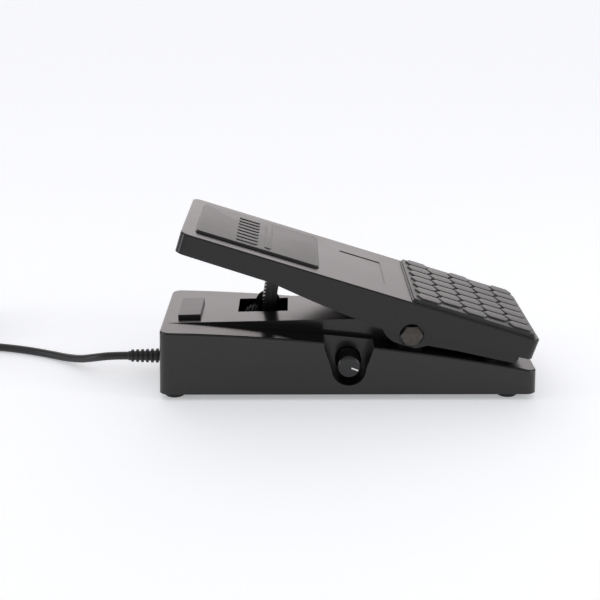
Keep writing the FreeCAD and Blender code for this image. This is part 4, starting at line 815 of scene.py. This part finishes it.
    def boot(self) -> bpy.types.Object:
        """Build the plug's moulded boot with its grip rings.

        Returns:
            The boot.
        """
        work = bmesh.new()
        profile = [(0.0, 0.0), (3.2, 0.0), (3.6, 0.4), (4.5, 7.0), (5.2, 13.5), (6.6, 14.6), (7.0, 15.4),
                   (7.0, self.boot_length - 1.2), (6.6, self.boot_length - 0.4),
                   (5.8, self.boot_length), (0.0, self.boot_length)]
        lathe(work, profile, 64)
        place = Matrix.Translation(Vector(self.plug) * MM)
        forwards = place @ Matrix.Rotation(math.radians(90), 4, "X")
        shell = new_piece("boot_shell", work, forwards)
        ring = bmesh.new()
        lathe(ring, band(5.5, 7.0, 0.7, 0.4), 64)
        bmesh.ops.remove_doubles(ring, verts=ring.verts, dist=1e-4)
        template = new_piece("boot_ring", ring, Matrix.Rotation(math.radians(90), 4, "X"))
        first_place = Vector((self.plug[0], self.plug[1] - self.first_grip_ring, self.plug[2]))
        rings = repeated("boot_rings", template, RELIEF_PVC, Matrix.Translation(first_place * MM),
                         columns=1, rows=self.grip_rings, column_pitch=0.0,
                         row_pitch=-self.grip_pitch * MM, stagger=0.0)
        return settle(joined("plug_boot_moulded", [shell, rings]), "base", RELIEF_PVC,
                      ["plug_boot"])

    def build(self) -> list[bpy.types.Object]:
        """Build the cable and what is on it."""
        relief = self.strain_relief()
        boot = self.boot()
        return [relief, boot, self.cord()]


# ---------------------------------------------------------------------------------------------
# Floor, lights and camera
# ---------------------------------------------------------------------------------------------
@dataclass
class Studio:
    """A pale seamless floor under soft light, and the camera, in mm and degrees."""

    floor_colour: str = "#f4f5f7"
    floor_half: float = 20000.0
    camera_at: tuple[float, float, float] = (-34.64, -736.79, 295.08)
    pitch: float = 18.06
    yaw: float = 0.21
    lens: float = 66.56
    sensor: float = 36.0
    floor_glow: float = 0.37
    horizon: float = 0.24
    zenith: float = 0.71
    back_glow: float = 1.44
    back_towards: tuple[float, float, float] = (-0.10, 0.94, 0.32)
    back_edge: float = 0.72

    def floor(self) -> None:
        """Lay the floor out to past the horizon of the view."""
        work = bmesh.new()
        half = self.floor_half
        corners = [work.verts.new((x * half, y * half, 0)) for x, y in ((-1, -1), (1, -1), (1, 1), (-1, 1))]
        work.faces.new(corners)
        floor = new_piece("floor", work)
        paper = bpy.data.materials.new("seamless_paper")
        paper.use_nodes = True
        shader = paper.node_tree.nodes["Principled BSDF"]
        shader.inputs["Base Color"].default_value = linear(self.floor_colour)
        shader.inputs["Roughness"].default_value = 0.9
        shader.inputs["Specular IOR Level"].default_value = 0.0
        shader.inputs["Emission Color"].default_value = linear(self.floor_colour)
        shader.inputs["Emission Strength"].default_value = self.floor_glow
        floor.data.materials.append(paper)

    def world(self) -> None:
        """Light the scene from all round, with a brighter field behind the pedal."""
        world = bpy.data.worlds.new("studio")
        bpy.context.scene.world = world
        world.use_nodes = True
        tree = world.node_tree
        tree.nodes.clear()
        towards = add_node(tree, "ShaderNodeTexCoord").outputs["Generated"]
        height = add_node(tree, "ShaderNodeSeparateXYZ", inputs={0: towards}).outputs["Z"]
        dome = add_node(tree, "ShaderNodeMapRange", inputs={
            "Value": height, "From Min": 0.0, "From Max": 1.0,
            "To Min": self.horizon, "To Max": self.zenith})
        aim = add_node(tree, "ShaderNodeVectorMath", {"operation": "DOT_PRODUCT"}, {
            0: towards, 1: Vector(self.back_towards).normalized()}).outputs["Value"]
        lobe = add_node(tree, "ShaderNodeMapRange", {"interpolation_type": "SMOOTHSTEP"}, {
            "Value": aim, "From Min": self.back_edge, "From Max": 1.0,
            "To Min": 0.0, "To Max": self.back_glow})
        sky = add_node(tree, "ShaderNodeBackground", inputs={
            "Color": linear("#fbfcff"), "Strength": dome.outputs["Result"]})
        glow = add_node(tree, "ShaderNodeBackground", inputs={
            "Color": linear("#fff6f6"), "Strength": lobe.outputs["Result"]})
        light = add_node(tree, "ShaderNodeAddShader", inputs={0: sky.outputs[0], 1: glow.outputs[0]})
        add_node(tree, "ShaderNodeOutputWorld", inputs={"Surface": light.outputs[0]})

    def lamp(
        self, name: str, at: tuple[float, float, float], size: tuple[float, float], watts: float
    ) -> None:
        """Add a soft box that faces the pedal.

        Args:
            name: The lamp's name.
            at: Its place in mm.
            size: Its width and height in mm.
            watts: Its power.
        """
        data = bpy.data.lights.new(name, "AREA")
        data.shape = "RECTANGLE"
        data.size, data.size_y = (value * MM for value in size)
        data.energy = watts
        lamp = bpy.data.objects.new(name, data)
        lamp.location = Vector(at) * MM
        aim = Vector((0, 0, 0.04)) - lamp.location
        lamp.rotation_euler = aim.to_track_quat("-Z", "Y").to_euler()
        bpy.context.scene.collection.objects.link(lamp)

    def camera(self) -> None:
        """Set the camera."""
        data = bpy.data.cameras.new("camera")
        data.lens = self.lens
        data.sensor_width = self.sensor
        data.clip_end = 100.0
        camera = bpy.data.objects.new("camera", data)
        camera.location = Vector(self.camera_at) * MM
        camera.rotation_euler = (math.radians(90 - self.pitch), 0.0, -math.radians(self.yaw))
        bpy.context.scene.collection.objects.link(camera)
        bpy.context.scene.camera = camera

    def build(self) -> None:
        """Set up the floor, the lights and the camera."""
        self.floor()
        self.world()
        self.lamp("left_strip", (-1400.0, -300.0, 260.0), (160.0, 700.0), 3.0)
        self.lamp("right_strip", (1100.0, -420.0, 300.0), (160.0, 600.0), 3.0)
        self.camera()
        bpy.context.scene.view_settings.view_transform = "Standard"


def main() -> None:
    """Build the studio, dress the frame's nodes and build each sub-assembly."""
    logging.basicConfig(level=logging.INFO)
    Studio().build()
    cable = Cable().build()
    CarriedNodes().dress()
    pads = TreadlePads().build()
    knob = RangeKnob().build()
    LOG.info("%d pieces built", len(cable) + len(pads) + 1)
    LOG.info("%s is the last piece", knob.name)


if __name__ == "__main__":
    main()
